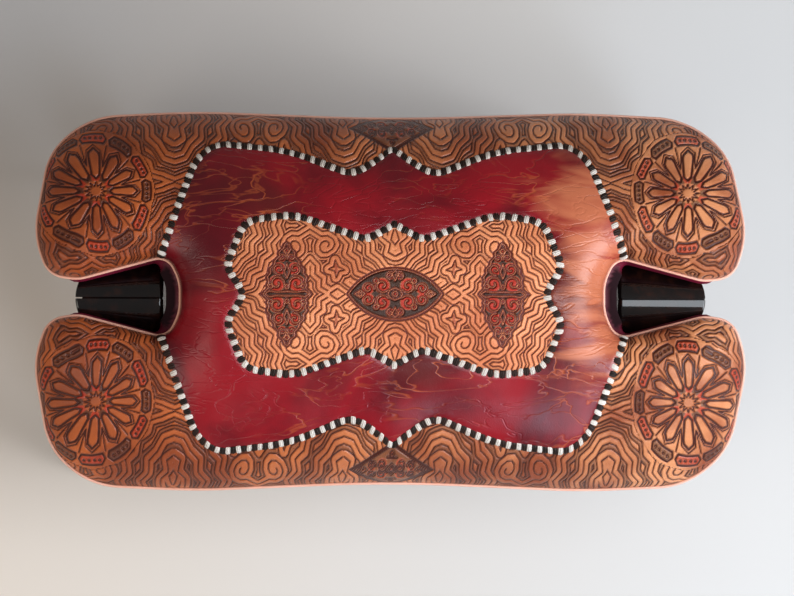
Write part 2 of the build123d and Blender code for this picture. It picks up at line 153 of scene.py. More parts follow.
def rounded_quarter(points: Points, radii: list[float], step: float = 2.5) -> np.ndarray:
    """Round the corners of one quarter of a closed outline.

    Args:
        points: corners from the Y axis round to the X axis, in millimetres.
        radii: the radius at each corner.
        step: the longest straight piece in an arc.

    Returns:
        The quarter as an array of points that starts on Y and ends on X.
    """
    first, last = points[0], points[-1]
    if last[1] > 0:
        after = (last[0], -last[1])
    else:
        after = (points[-2][0], -points[-2][1])
    chain = np.array([(-points[1][0], points[1][1]), *points, after])
    out: list[np.ndarray] = []
    for here, radius in zip(range(1, len(chain) - 1), radii):
        corner = chain[here]
        back, ahead = chain[here - 1] - corner, chain[here + 1] - corner
        back_length, ahead_length = np.linalg.norm(back), np.linalg.norm(ahead)
        back, ahead = back / back_length, ahead / ahead_length
        turn = math.pi - math.acos(float(np.clip(back @ ahead, -1, 1)))
        if radius <= 0 or turn < 1e-4:
            out.append(corner)
            continue
        reach = min(radius * math.tan(turn / 2), 0.498 * min(back_length, ahead_length))
        radius = reach / math.tan(turn / 2)
        middle = back + ahead
        centre = corner + middle / np.linalg.norm(middle) * radius / math.cos(turn / 2)
        start, end = corner + back * reach - centre, corner + ahead * reach - centre
        from_angle = math.atan2(start[1], start[0])
        sweep = (math.atan2(end[1], end[0]) - from_angle + math.pi) % (2 * math.pi) - math.pi
        count = 2 * max(1, math.ceil(radius * abs(sweep) / step / 2))
        for number in range(count + 1):
            angle = from_angle + sweep * number / count
            out.append(centre + radius * np.array([math.cos(angle), math.sin(angle)]))
    line = np.array(out)
    line = line[(line[:, 0] >= -1e-6) & (line[:, 1] >= -1e-6)]
    if line[0][0] > 1e-3:
        line = np.vstack([[0.0, first[1]], line])
    if line[-1][1] > 1e-3:
        line = np.vstack([line, [line[-1][0], 0.0]])
    return line


class Outline:
    """A closed outline in the plan, alike in all four quarters."""

    chunk = 20000

    def __init__(self, points: Points, radii: list[float]) -> None:
        """Build the outline from one quarter.

        Args:
            points: corners of the quarter, in millimetres.
            radii: the radius at each corner.
        """
        self.quarter = rounded_quarter(points, radii)

    def nearest(self, x: np.ndarray, y: np.ndarray) -> tuple[np.ndarray, np.ndarray, np.ndarray]:
        """Find the signed distance and the nearest point of the outline.

        Args:
            x: places along the cushion.
            y: places across it.

        Returns:
            Signed distance, negative inside, and the nearest point's x and y.
        """
        shape = x.shape
        px, py = np.abs(x).ravel(), np.abs(y).ravel()
        a, b = self.quarter[:-1], self.quarter[1:]
        span = b - a
        length2 = np.maximum((span**2).sum(1), 1e-12)
        ring = np.vstack([self.quarter, [0.0, 0.0]])
        after = np.roll(ring, -1, axis=0)
        best = np.empty(px.size)
        near_x, near_y = np.empty(px.size), np.empty(px.size)
        inside = np.empty(px.size, bool)
        for low in range(0, px.size, self.chunk):
            sel = slice(low, low + self.chunk)
            qx, qy = px[sel, None], py[sel, None]
            share = ((qx - a[:, 0]) * span[:, 0] + (qy - a[:, 1]) * span[:, 1]) / length2
            share = np.clip(share, 0, 1)
            cx, cy = a[:, 0] + share * span[:, 0], a[:, 1] + share * span[:, 1]
            d2 = (qx - cx) ** 2 + (qy - cy) ** 2
            pick = d2.argmin(1)
            rows = np.arange(pick.size)
            best[sel] = np.sqrt(d2[rows, pick])
            near_x[sel], near_y[sel] = cx[rows, pick], cy[rows, pick]
            rise = after[:, 1] - ring[:, 1]
            rise = np.where(np.abs(rise) < 1e-12, 1e-12, rise)
            level = qy + 1e-7
            straddle = (ring[:, 1] > level) != (after[:, 1] > level)
            cross = qx + 1e-7 < (after[:, 0] - ring[:, 0]) * (level - ring[:, 1]) / rise + ring[:, 0]
            inside[sel] = (straddle & cross).sum(1) % 2 == 1
        signed = np.where(inside, -best, best).reshape(shape)
        sign_x, sign_y = np.where(x < 0, -1.0, 1.0), np.where(y < 0, -1.0, 1.0)
        return signed, near_x.reshape(shape) * sign_x, near_y.reshape(shape) * sign_y

    def distance(self, x: np.ndarray, y: np.ndarray) -> np.ndarray:
        """Signed distance to the outline, negative inside."""
        return self.nearest(x, y)[0]

    def half(self, side: float) -> np.ndarray:
        """The half of the outline on one side of X, from -X to +X."""
        quarter = self.quarter * np.array([1.0, side])
        return np.vstack([quarter[:0:-1] * np.array([-1.0, 1.0]), quarter])

    def loop(self) -> np.ndarray:
        """The whole outline, without a repeated last point."""
        return np.vstack([self.half(1.0)[:-1], self.half(-1.0)[::-1][:-1]])


PAD_LINE = Outline(PAD_QUARTER, PAD_RADII)
BORDER_LINE = Outline(BORDER_QUARTER, BORDER_RADII)
CENTRE_LINE = Outline(CENTRE_QUARTER, CENTRE_RADII)


def lumps(x: np.ndarray, y: np.ndarray) -> np.ndarray:
    """Gentle unevenness of hand stuffing, within about a millimetre."""
    slow = 0.9 * np.sin(x / 41 + 1.3 * np.sin(y / 33)) * np.cos(y / 37 + 0.8)
    return slow + 0.5 * np.sin(x / 19 + y / 23)


def dome_height(
    x: np.ndarray, y: np.ndarray, crown: float, side_drop: float, end_drop: float
) -> np.ndarray:
    """Height of an arc across Y swept along X on a wide arc.

    Args:
        x: places along the cushion.
        y: places across it.
        crown: height at the middle.
        side_drop: fall at the half width.
        end_drop: fall at the half length.

    Returns:
        Heights in millimetres.
    """
    across_radius = arc_radius(PAD.half_width, side_drop)
    along_radius = arc_radius(PAD.half_length, end_drop)
    across = np.sqrt(np.maximum(across_radius**2 - y**2, 1.0))
    reach = along_radius - across_radius + across
    return crown - along_radius + np.sqrt(reach**2 - x**2)


def seam_height(x: np.ndarray, y: np.ndarray) -> np.ndarray:
    """Height of the piped seam between the top and the underside, in millimetres."""
    side_drop = PAD.base_drop + (PAD.side_drop - PAD.base_drop) * PAD.seam_share
    return dome_height(x, y, PAD.seam_crown, side_drop, PAD.end_drop * PAD.seam_share)


def arch_height(y: np.ndarray) -> np.ndarray:
    """Height of the wooden arch's outer surface above the floor.

    Args:
        y: places across the arch.

    Returns:
        Heights in millimetres.
    """
    y = np.abs(y)
    knee_y = PAD.arch_crown * math.sin(PAD.arch_shoulder)
    knee_z = PAD.arch_top - PAD.arch_crown * (1 - math.cos(PAD.arch_shoulder))
    crown = PAD.arch_top - PAD.arch_crown + np.sqrt(np.maximum(PAD.arch_crown**2 - y**2, 0))
    centre_y = knee_y - PAD.arch_flank * math.sin(PAD.arch_shoulder)
    centre_z = knee_z - PAD.arch_flank * math.cos(PAD.arch_shoulder)
    flank = centre_z + np.sqrt(np.maximum(PAD.arch_flank**2 - (y - centre_y) ** 2, 0))
    return np.where(y < knee_y, crown, flank)


def both_ways(half: float) -> tuple[float, float]:
    """The span that reaches as far to either side of the middle."""
    return -half, half


def smooth(value: np.ndarray, low: float, high: float) -> np.ndarray:
    """Smooth step from 0 at low to 1 at high."""
    share = np.clip((value - low) / (high - low), 0, 1)
    return share * share * (3 - 2 * share)


def plateau(value: np.ndarray, rise: tuple[float, float], fall: tuple[float, float]) -> np.ndarray:
    """Smooth step from 0 to 1 over one span and back to 0 over the other."""
    return smooth(value, *rise) * (1 - smooth(value, *fall))


def mesh_object(
    name: str, verts: np.ndarray, faces: np.ndarray, attributes: dict[str, np.ndarray] | None = None
) -> bpy.types.Object:
    """Make a smooth-shaded mesh object.

    Args:
        name: the object's name.
        verts: points in millimetres.
        faces: four point numbers a face.
        attributes: float values for each point, by name.

    Returns:
        The new object, linked to the scene.
    """
    mesh = bpy.data.meshes.new(name)
    mesh.from_pydata((verts * MM).tolist(), [], faces.tolist())
    for key, values in (attributes or {}).items():
        if values.ndim == 2:
            layer = mesh.attributes.new(key, "FLOAT_VECTOR", "POINT")
            layer.data.foreach_set("vector", values.astype(np.float32).ravel())
        else:
            layer = mesh.attributes.new(key, "FLOAT", "POINT")
            layer.data.foreach_set("value", values.astype(np.float32))
    mesh.polygons.foreach_set("use_smooth", [True] * len(mesh.polygons))
    mesh.update()
    piece = bpy.data.objects.new(name, mesh)
    bpy.context.collection.objects.link(piece)
    return piece


def lay_grid(
    region: Callable[[np.ndarray, np.ndarray], np.ndarray],
    x_span: tuple[float, float],
    y_span: tuple[float, float],
    spacing: float,
) -> tuple[np.ndarray, np.ndarray, np.ndarray, np.ndarray]:
    """Cut a flat panel of leather as a fine grid whose rim lies on its outline.

    Args:
        region: signed distance to the panel's outline, negative inside.
        x_span: lowest and highest x.
        y_span: lowest and highest y.
        spacing: size of a cell.

    Returns:
        The points' x and y, the faces, and which points of the grid are used.
    """
    xs = np.arange(x_span[0], x_span[1] + spacing, spacing)
    ys = np.arange(y_span[0], y_span[1] + spacing, spacing)
    grid_x, grid_y = np.meshgrid(xs, ys, indexing="ij")
    signed = region(grid_x, grid_y)
    slope_x, slope_y = np.gradient(signed, spacing)
    inside = signed < -0.15 * spacing
    cells = inside[:-1, :-1] | inside[1:, :-1] | inside[:-1, 1:] | inside[1:, 1:]
    used = np.zeros_like(inside)
    for across in (slice(None, -1), slice(1, None)):
        for along in (slice(None, -1), slice(1, None)):
            used[across, along] |= cells
    rim = used & ~inside
    steep = np.maximum(slope_x**2 + slope_y**2, 0.25)
    grid_x = np.where(rim, grid_x - signed * slope_x / steep, grid_x)
    grid_y = np.where(rim, grid_y - signed * slope_y / steep, grid_y)
    number = np.full(inside.shape, -1)
    number[used] = np.arange(used.sum())
    i, j = np.nonzero(cells)
    faces = np.stack([number[i, j], number[i + 1, j], number[i + 1, j + 1], number[i, j + 1]], 1)
    return grid_x[used], grid_y[used], faces, used


@dataclass
class StuffedForm:
    """The stuffed shape of the cushion, whose leather swells between its seams."""

    spacing: float = 6.0
    frames: int = 20
    pressure: float = 160.0
    point_mass: float = 0.01
    cap: float = 4.0
    rim_hold: float = 0.5
    seam_hold: float = 0.6
    swell: np.ndarray | None = None

    def span(self, half: float) -> tuple[float, float]:
        """The whole cells of the simulated grid that cover a half size either way."""
        return both_ways(self.spacing * math.ceil(half / self.spacing))

    def settle(self) -> None:
        """Let the stuffing press the top leather out, held at the piping and the lacing."""
        x, y, faces, used = lay_grid(
            PAD_LINE.distance, self.span(PAD.half_length), self.span(PAD.half_width), self.spacing
        )
        rest = np.stack(self.place(x, y, Layer.TOP), 1)
        piece = mesh_object("stuffing_shell", rest, faces)
        seams = np.minimum(np.abs(BORDER_LINE.distance(x, y)), np.abs(CENTRE_LINE.distance(x, y)))
        at_rim = np.abs(PAD_LINE.distance(x, y)) < self.rim_hold * self.spacing
        held = at_rim | (seams < self.seam_hold * self.spacing)
        piece.vertex_groups.new(name="held").add(np.nonzero(held)[0].tolist(), 1.0, "REPLACE")
        cloth = piece.modifiers.new("stuffing", "CLOTH")
        cloth.settings.vertex_group_mass = "held"
        cloth.settings.mass = self.point_mass
        cloth.settings.use_pressure = True
        cloth.settings.uniform_pressure_force = self.pressure
        cloth.settings.effector_weights.gravity = 0.0
        scene = bpy.context.scene
        for frame_number in range(1, self.frames + 1):
            scene.frame_set(frame_number)
        settled = piece.evaluated_get(bpy.context.evaluated_depsgraph_get()).to_mesh()
        places = np.empty(len(settled.vertices) * 3)
        settled.vertices.foreach_get("co", places)
        rise = places.reshape(-1, 3)[:, 2] / MM - rest[:, 2]
        LOG.info("swell from %.2f to %.2f mm before the cap", rise.min(), rise.max())
        self.swell = np.zeros(used.shape)
        self.swell[used] = self.cap * np.tanh(rise / self.cap)
        scene.frame_set(1)
        bpy.data.objects.remove(piece)

    def swell_at(self, x: np.ndarray, y: np.ndarray) -> np.ndarray:
        """Read the swell between the simulated grid's points.

        Args:
            x: places along the flat leather.
            y: places across it.

        Returns:
            The rise at each place, in millimetres.
        """
        if self.swell is None:
            return np.zeros(x.shape)
        column = (x - self.span(PAD.half_length)[0]) / self.spacing
        row = (y - self.span(PAD.half_width)[0]) / self.spacing
        i = np.clip(np.floor(column).astype(int), 0, self.swell.shape[0] - 2)
        j = np.clip(np.floor(row).astype(int), 0, self.swell.shape[1] - 2)
        u, v = np.clip(column - i, 0, 1), np.clip(row - j, 0, 1)
        near = self.swell[i, j] * (1 - v) + self.swell[i, j + 1] * v
        far = self.swell[i + 1, j] * (1 - v) + self.swell[i + 1, j + 1] * v
        return near * (1 - u) + far * u

    def place(
        self, x: np.ndarray, y: np.ndarray, layer: Layer
    ) -> tuple[np.ndarray, np.ndarray, np.ndarray]:
        """Drape flat places of the leather over the stuffing.

        The leather's outer strip rolls down to the piped seam, and the pattern drawn
        on the flat leather goes with it, without being drawn out down the sides.

        Args:
            x: places along the flat leather, in millimetres.
            y: places across it.
            layer: the leather above the piped seam or below it.

        Returns:
            The place in space, in millimetres.
        """
        signed, near_x, near_y = PAD_LINE.nearest(x, y)
        inset = np.maximum(-signed, 1e-6)
        share = np.clip(inset / PAD.edge_roll, 0, 1)
        plan_share = share**2 * (2 - share)
        plan_inset = np.where(inset < PAD.edge_roll, PAD.edge_roll * plan_share, inset)
        pull = np.clip((inset - plan_inset) / inset, 0, 1)
        px, py = x + (near_x - x) * pull, y + (near_y - y) * pull
        seam = seam_height(px, py)
        rise = (1 - (1 - plan_share) ** PAD.edge_power) ** (1 / PAD.edge_power)
        if layer is Layer.TOP:
            top = dome_height(px, py, PAD.crown, PAD.side_drop, PAD.end_drop)
            border, centre = BORDER_LINE.distance(x, y), CENTRE_LINE.distance(x, y)
            groove = sum(
                PAD.groove_depth * np.exp(-((away / PAD.groove_reach) ** 2)) for away in (border, centre)
            )
            soft = lumps(x, y) * smooth(inset, *PAD.soft_inset)
            return px, py, seam + (top - seam) * rise + (soft - groove) * rise + self.swell_at(x, y)
        in_notch = plateau(np.abs(near_x), PAD.notch_inner, PAD.notch_mouth)
        in_notch = in_notch * (1 - smooth(np.abs(near_y), *PAD.notch_side))
        toward_mouth = smooth(np.abs(near_x), *PAD.bulge_end)
        reach = PAD.notch_bulge + (PAD.mouth_bulge - PAD.notch_bulge) * toward_mouth
        lip = in_notch * (1 - smooth(share, *PAD.lip_share))
        bulge = np.sin(np.pi * np.clip(share * PAD.bulge_rate, 0, 1)) * reach
        base_inset = plan_inset * (1 - lip) - in_notch * bulge
        pull = (inset - base_inset) / inset
        px, py = x + (near_x - x) * pull, y + (near_y - y) * pull
        base_radius = arc_radius(PAD.half_width, PAD.base_drop)
        base = PAD.base_crown - base_radius + np.sqrt(base_radius**2 - py**2)
        over_arch = plateau(
            np.abs(px), (PAD.arch_inner - 4, PAD.arch_inner - 1), (PAD.arch_tip + 1, PAD.arch_tip + 9)
        )
        seat = arch_height(py) + PAD.rest_gap
        base = base + (np.maximum(base, seat) - base) * over_arch
        z = seam - (seam - base) * rise
        return px, py, np.where(over_arch > 0.02, np.maximum(z, seat), z)


def stroke(x: np.ndarray, y: np.ndarray, line: Points) -> np.ndarray:
    """Measure the distance to a chain of straight strokes.

    Args:
        x: places along the leather.
        y: places across it.
        line: the chain's points.

    Returns:
        The distance to the nearest stroke.
    """
    best = np.full(x.shape, FAR)
    for (ax, ay), (bx, by) in zip(line, line[1:]):
        dx, dy = bx - ax, by - ay
        share = np.clip(((x - ax) * dx + (y - ay) * dy) / (dx * dx + dy * dy), 0, 1)
        best = np.minimum(best, np.hypot(x - ax - share * dx, y - ay - share * dy))
    return best


@dataclass
class Pattern:
    """What is pressed and painted at each place of the leather."""

    line: np.ndarray
    red: np.ndarray
    dark: np.ndarray

    def stamp(self, other: "Pattern", outside: np.ndarray) -> None:
        """Press an ornament over this pattern.

        Args:
            other: the ornament's own pattern.
            outside: signed distance to its outline, negative inside.
        """
        cover = outside < 0
        self.line = np.where(cover, other.line, np.minimum(self.line, np.abs(outside)))
        self.red = np.where(cover, other.red, self.red)
        self.dark = np.where(cover, other.dark, self.dark)

    def strap(self, distance: np.ndarray, half_width: float) -> None:
        """Lay a plain strap between two pressed lines over this pattern.

        Args:
            distance: distance to the strap's middle line.
            half_width: half the strap's width.
        """
        bare = smooth(distance, half_width, half_width + 0.3)
        edge = np.abs(distance - half_width)
        self.line = np.where(distance < half_width, edge, np.minimum(self.line, edge))
        self.red, self.dark = self.red * bare, self.dark * bare


def fold(value: np.ndarray, half: float) -> np.ndarray:
    """Mirror a coordinate again and again into the span from 0 to half."""
    return np.abs((value + half) % (2 * half) - half)


def curl(cx: float, cy: float, radius: float, start: float, turns: float) -> Points:
    """Points of a curl that winds in.

    Args:
        cx: its middle's x.
        cy: its middle's y.
        radius: its outer radius.
        start: where it starts, in degrees.
        turns: how far it winds, negative for clockwise.

    Returns:
        The points from the outside in.
    """
    count = 14
    points = []
    for number in range(count + 1):
        share = number / count
        angle = math.radians(start) + turns * math.tau * share
        reach = radius * (1 - 0.76 * share)
        points.append((cx + reach * math.cos(angle), cy + reach * math.sin(angle)))
    return points


CELL_LENGTH, CELL_WIDTH = 76.0, 62.0
WIDE_SHARE = 0.62
STRAPWORK: list[Points] = [
    [(0, 59), (5, 56.5), *curl(13.5, 44, 9.5, 110, -1.4)],
    [(0, 31), (4.5, 26), (3.5, 19), (10, 14), (10.5, 7), (16, 3)],
    [(16, 22), (21, 24), (23, 30), (25, 24), (30, 22), (25, 20), (23, 14), (21, 20), (16, 22)],
    [(18, 0), (25, 4.2), (32, 0)],
    [(31, 62), (28, 53), (34, 46), (33, 37), (41, 31), (42, 21), (51, 16), (54, 8), (65, 6), (76, 0)],
    [(50, 62), (47, 53), (53, 46), (54, 37), (62, 32), (67, 24), (76, 20)],
    [(76, 34), (70, 38), (71, 46), (65, 52), (66, 62)],
    [(76, 43), (72, 49), (76, 58)],
]


def strapwork(
    x: np.ndarray, y: np.ndarray, pitch: float, shift: tuple[float, float], shade: float
) -> Pattern:
    """Parallel lines that run along straps, curls and stars, mirrored in every cell.

    Args:
        x: places along the leather.
        y: places across it.
        pitch: distance from one line to the next.
        shift: where the cells start, along and across.
        shade: how dark the narrow strip of every other pair of lines is stained.

    Returns:
        The background pattern.
    """
    u = fold(np.abs(x) + shift[0], CELL_LENGTH)
    v = fold(np.abs(y) + shift[1], CELL_WIDTH)
    u, v = u + 0.7 * np.sin(v / 4.1), v + 0.7 * np.sin(u / 4.6)
    reach = np.full(x.shape, FAR)
    for chain in STRAPWORK:
        reach = np.minimum(reach, stroke(u, v, chain))
    phase = reach % pitch
    line = np.minimum(np.minimum(phase, pitch - phase), np.abs(phase - WIDE_SHARE * pitch))
    seed = 1 - smooth(stroke(u, v, [(23, 19), (23, 25)]), 0.8, 1.6)
    strip = (phase > WIDE_SHARE * pitch) & (np.floor(reach / pitch) % 2 == 0)
    return Pattern(line, 0.5 * seed, np.maximum(0.3 * seed, shade * strip))


def rosette(x: np.ndarray, y: np.ndarray, size: float) -> tuple[Pattern, np.ndarray]:
    """Twelve long petals in interlaced straps, with a ring of dotted cells.

    Args:
        x: places from its middle.
        y: places from its middle.
        size: its outer radius.

    Returns:
        Its pattern and the signed distance to its outline.
    """
    drawn_size, ring, petals = 50.0, 43.6, 12
    scale = size / drawn_size
    r, angle = np.hypot(x, y) / scale, np.arctan2(y, x)
    sector = math.tau / petals
    fold_angle = np.abs((angle + sector / 2) % sector - sector / 2)
    px, py = r * np.cos(fold_angle), r * np.sin(fold_angle)
    odd = np.floor((angle + sector / 2) / sector) % 2
    petal = [(11.5, 0), (14.5, 2.8), (29.0, 4.2), (32.0, 3.7), (35.5, 0)]
    within = (py < np.interp(px, *zip(*petal))) & (px > petal[0][0]) & (px < petal[-1][0])
    cell = np.maximum(fold_angle * r - 10.2 + 0.6 * np.abs(r - ring), np.abs(r - ring) - 3.6)
    inner = np.where(within, 0.0, smooth(r, 8.8, 9.2)) * (1 - smooth(r, 14.0, 18.0))
    fill = 0.6 * smooth(-cell, 0.4, 0.8) + 0.7 * inner
    line = np.maximum(np.minimum(stroke(px, py, petal), np.abs(cell)) - 0.3, 0)
    line = np.minimum(line, stroke(px, py, [(21.5, 5.76), (33.4, 5.4), (38.2, 0)]))
    line = np.minimum(line, stroke(px, py, [(21.5, 5.76), (37.6, 10.07)]))
    line = np.minimum(line, stroke(px, py, [(4.4, 1.18), (8.4, 0)]))
    pattern = Pattern(line, fill * odd, fill * (1 - odd))
    for spot in (2.2, 6.0):
        pattern.strap(np.hypot(px - ring, py - spot), 0.8)
    scallop = (r - 49.2 - 1.0 * np.cos(fold_angle * 6)) * scale
    pattern.line = pattern.line * scale
    return pattern, scallop


@dataclass(frozen=True)
class Medallion:
    """Scrollwork, alike in four quarters, on red and black within a plain rim."""

    curls: tuple[tuple[float, float, float, float, float], ...]
    straps: tuple[tuple[tuple[float, float], ...], ...]
    drops: tuple[tuple[float, float, float], ...]
    rim: float = 2.3
    strap_width: float = 0.75
    depth: float = 0.95

    def draw(self, x: np.ndarray, y: np.ndarray, outside: np.ndarray) -> Pattern:
        """Draw the scrollwork.

        Args:
            x: places from its middle.
            y: places from its middle.
            outside: signed distance to its outline, negative inside.

        Returns:
            Its pattern.
        """
        ax, ay = np.abs(x), np.abs(y)
        field = smooth(-outside, self.rim, self.rim + 0.4)
        red = np.zeros(x.shape)
        for cx, cy, radius, _, _ in self.curls:
            red = np.maximum(red, 1 - smooth(np.hypot(ax - cx, ay - cy), radius * 0.9, radius * 1.15))
        for cx, cy, radius in self.drops:
            red = np.maximum(red, 1 - smooth(np.hypot(ax - cx, ay - cy), radius * 0.8, radius * 1.1))
        line = np.minimum(np.maximum(np.abs(outside + 0.3) - 0.5, 0), np.abs(outside + self.rim))
        pattern = Pattern(line, red * field * self.depth, self.depth * (1 - red) * field)
        reach = np.full(x.shape, FAR)
        for cx, cy, radius, start, turns in self.curls:
            reach = np.minimum(reach, stroke(ax, ay, curl(cx, cy, radius, start, turns)))
        for strap in self.straps:
            reach = np.minimum(reach, stroke(ax, ay, list(strap)))
        for cx, cy, radius in self.drops:
            reach = np.minimum(reach, np.abs(np.hypot(ax - cx, ay - cy) - radius))
        pattern.strap(np.where(field > 0.5, reach, FAR), self.strap_width)
        return pattern


ALMOND = Medallion(
    curls=((11.5, 7.4, 6.6, 215, 1.1), (24.0, 5.0, 5.2, 190, -1.1), (4.4, 16.6, 3.6, 270, 1.0)),
    straps=(((0, 5.4), (4.8, 3.4), (6.4, 0)), ((0, 12), (3, 18), (0, 21)), ((27, 0), (31, 3.2), (36, 0))),
    drops=((0, 0, 2.2), (17.0, 11.6, 2.0), (31.4, 0, 1.6)),
)
PALMETTE = Medallion(
    curls=((9.0, 9.4, 7.0, 190, -1.1), (7.0, 22.5, 5.6, 260, 1.1), (4.2, 32.5, 3.6, 200, -1.0)),
    straps=(
        ((0, 2.0), (9, 1.6), (16, 2.6), (20, 0)),
        ((0, 14), (2.4, 20), (0, 27)),
        ((0, 46), (3.4, 40), (0, 34)),
    ),
    drops=((0, 6.5, 1.8), (14.5, 7.0, 1.8), (0, 38.8, 1.9)),
)
DIAMOND = Medallion(
    curls=((8.5, 4.0, 4.4, 200, 1.3), (17.8, 3.2, 3.6, 190, -1.3)),
    straps=(((0, 4.6), (4.0, 0)), ((0, 8.6), (4.2, 9.0)), ((22, 0), (26, 2.2), (30, 0))),
    drops=((0, 0, 1.8), (25.6, 0, 1.3), (0, 11.4, 1.4)),
    rim=1.8,
    strap_width=0.6,
    depth=0.6,
)


ROSETTE_SIZE = 51.5
ALMOND_HALF, ALMOND_RISE = 43.5, 24.0
DIAMOND_HALF, DIAMOND_RISE = 38.0, 19.0
PALMETTE_HALF = 48.0
PALMETTE_OUTLINE: Points = [
    (0, 22), (3, 21.5), (6, 18), (12, 19), (20, 17), (27, 13.5), (31, 10.5), (36, 8.5), (42, 5.2), (48, 0),
]


def ornament(motif: Motif, x: np.ndarray, y: np.ndarray) -> tuple[Pattern, np.ndarray]:
    """Draw one ornament about its middle.

    Args:
        motif: which ornament.
        x: places from its middle.
        y: places from its middle.

    Returns:
        Its pattern and the signed distance to its outline.
    """
    ax, ay = np.abs(x), np.abs(y)
    if motif is Motif.ROSETTE:
        return rosette(x, y, ROSETTE_SIZE)
    if motif is Motif.ALMOND:
        radius = arc_radius(ALMOND_HALF, ALMOND_RISE)
        outside = np.hypot(x, ay + radius - ALMOND_RISE) - radius
        return ALMOND.draw(x, y, outside), outside
    if motif is Motif.PALMETTE:
        waist = np.interp(ay, *zip(*PALMETTE_OUTLINE))
        outside = np.maximum((ax - waist - 0.8 * np.cos(ay / 1.2)) * 0.86, ay - PALMETTE_HALF)
        return PALMETTE.draw(x, y, outside), outside
    outside = (ax / DIAMOND_HALF + ay / DIAMOND_RISE - 1) * 17.0
    return DIAMOND.draw(x, y, outside), outside


def leather_pattern(
    x: np.ndarray,
    y: np.ndarray,
    pitch: float,
    shift: tuple[float, float],
    shade: float,
    motifs: tuple[tuple[Motif, float, float], ...],
) -> Pattern:
    """The whole pattern of a panel.

    Args:
        x: places along the leather.
        y: places across it.
        pitch: distance between the background's lines.
        shift: where the background's cells start.
        shade: how dark the background's narrow strips are.
        motifs: each ornament with its middle.

    Returns:
        The pattern at each place.
    """
    pattern = strapwork(x, y, pitch, shift, shade)
    for motif, cx, cy in motifs:
        stamp, outside = ornament(motif, x - cx, y - cy)
        pattern.stamp(stamp, outside)
    return pattern


class Tree:
    """A short way to build a material's or a group's nodes."""

    def __init__(self, tree: bpy.types.NodeTree) -> None:
        """Keep the node tree that the methods add to."""
        self.tree = tree

    def add(self, kind: str, inputs: dict | None = None, **settings: object) -> bpy.types.Node:
        """Add a node, set its properties and feed its inputs.

        Args:
            kind: the node's type name without its ShaderNode prefix.
            inputs: values or output sockets, by input name or number.
            settings: properties of the node.

        Returns:
            The node.
        """
        node = self.tree.nodes.new("ShaderNode" + kind)
        for key, value in settings.items():
            setattr(node, key, value)
        for key, value in (inputs or {}).items():
            if isinstance(value, bpy.types.NodeSocket):
                self.tree.links.new(value, node.inputs[key])
            else:
                node.inputs[key].default_value = value
        return node

    def math(self, operation: str, first: object, second: object = 0.0) -> bpy.types.NodeSocket:
        """A Math node's result."""
        return self.add("Math", {0: first, 1: second}, operation=operation).outputs[0]

    def ramp(
        self, value: object, low: float, high: float, start: float = 0.0, end: float = 1.0
    ) -> bpy.types.NodeSocket:
        """Map a value smoothly from one range to another, clamped at both ends.

        Args:
            value: a number or an output socket.
            low: the value that gives start.
            high: the value that gives end.
            start: the result at low.
            end: the result at high.

        Returns:
            The result's socket.
        """
        node = self.add(
            "MapRange",
            {"Value": value, "From Min": low, "From Max": high, "To Min": start, "To Max": end},
            interpolation_type="SMOOTHSTEP",
        )
        return node.outputs["Result"]

    def mix(self, factor: object, first: object, second: object) -> bpy.types.NodeSocket:
        """Blend two colours.

        Args:
            factor: how much of the second, as a number or a socket.
            first: a colour or a socket.
            second: a colour or a socket.

        Returns:
            The blend's socket.
        """
        node = self.add("Mix", data_type="RGBA")
        for number, value in ((0, factor), (6, first), (7, second)):
            if isinstance(value, bpy.types.NodeSocket):
                self.tree.links.new(value, node.inputs[number])
            else:
                node.inputs[number].default_value = value
        return node.outputs[2]

    def attribute(self, name: str) -> bpy.types.NodeSocket:
        """A named value of the mesh."""
        return self.add("Attribute", attribute_name=name).outputs["Fac"]

    def leather_place(self) -> bpy.types.NodeSocket:
        """The place on the flat leather, in metres."""
        return self.add("Attribute", attribute_name="leather").outputs["Vector"]

    def scaled(self, value: object, factor: float) -> bpy.types.NodeSocket:
        """A value times a factor."""
        return self.math("MULTIPLY", value, factor)

    def laid(self, place: object, turn: float, scale: tuple[float, float, float]) -> bpy.types.NodeSocket:
        """A place turned about Z and stretched."""
        settings = {"Vector": place, "Rotation": (0.0, 0.0, turn), "Scale": scale}
        return self.add("Mapping", settings).outputs[0]

    def feed(self, source: bpy.types.NodeSocket, node: bpy.types.Node, name: str) -> None:
        """Link a socket to a named input of a node."""
        self.tree.links.new(source, node.inputs[name])


def make_group(
    name: str, inputs: dict[str, tuple[str, float]], outputs: dict[str, str]
) -> tuple[bpy.types.NodeTree, Tree, bpy.types.Node, bpy.types.Node]:
    """Start a shader node group.

    Args:
        name: the group's name.
        inputs: socket type and default, by name.
        outputs: socket type, by name.

    Returns:
        The group, its builder, its input node and its output node.
    """
    group = bpy.data.node_groups.new(name, "ShaderNodeTree")
    for key, (kind, default) in inputs.items():
        socket = group.interface.new_socket(key, in_out="INPUT", socket_type=kind)
        if kind == "NodeSocketFloat":
            socket.default_value = default
    for key, kind in outputs.items():
        group.interface.new_socket(key, in_out="OUTPUT", socket_type=kind)
    tree = Tree(group)
    return group, tree, group.nodes.new("NodeGroupInput"), group.nodes.new("NodeGroupOutput")


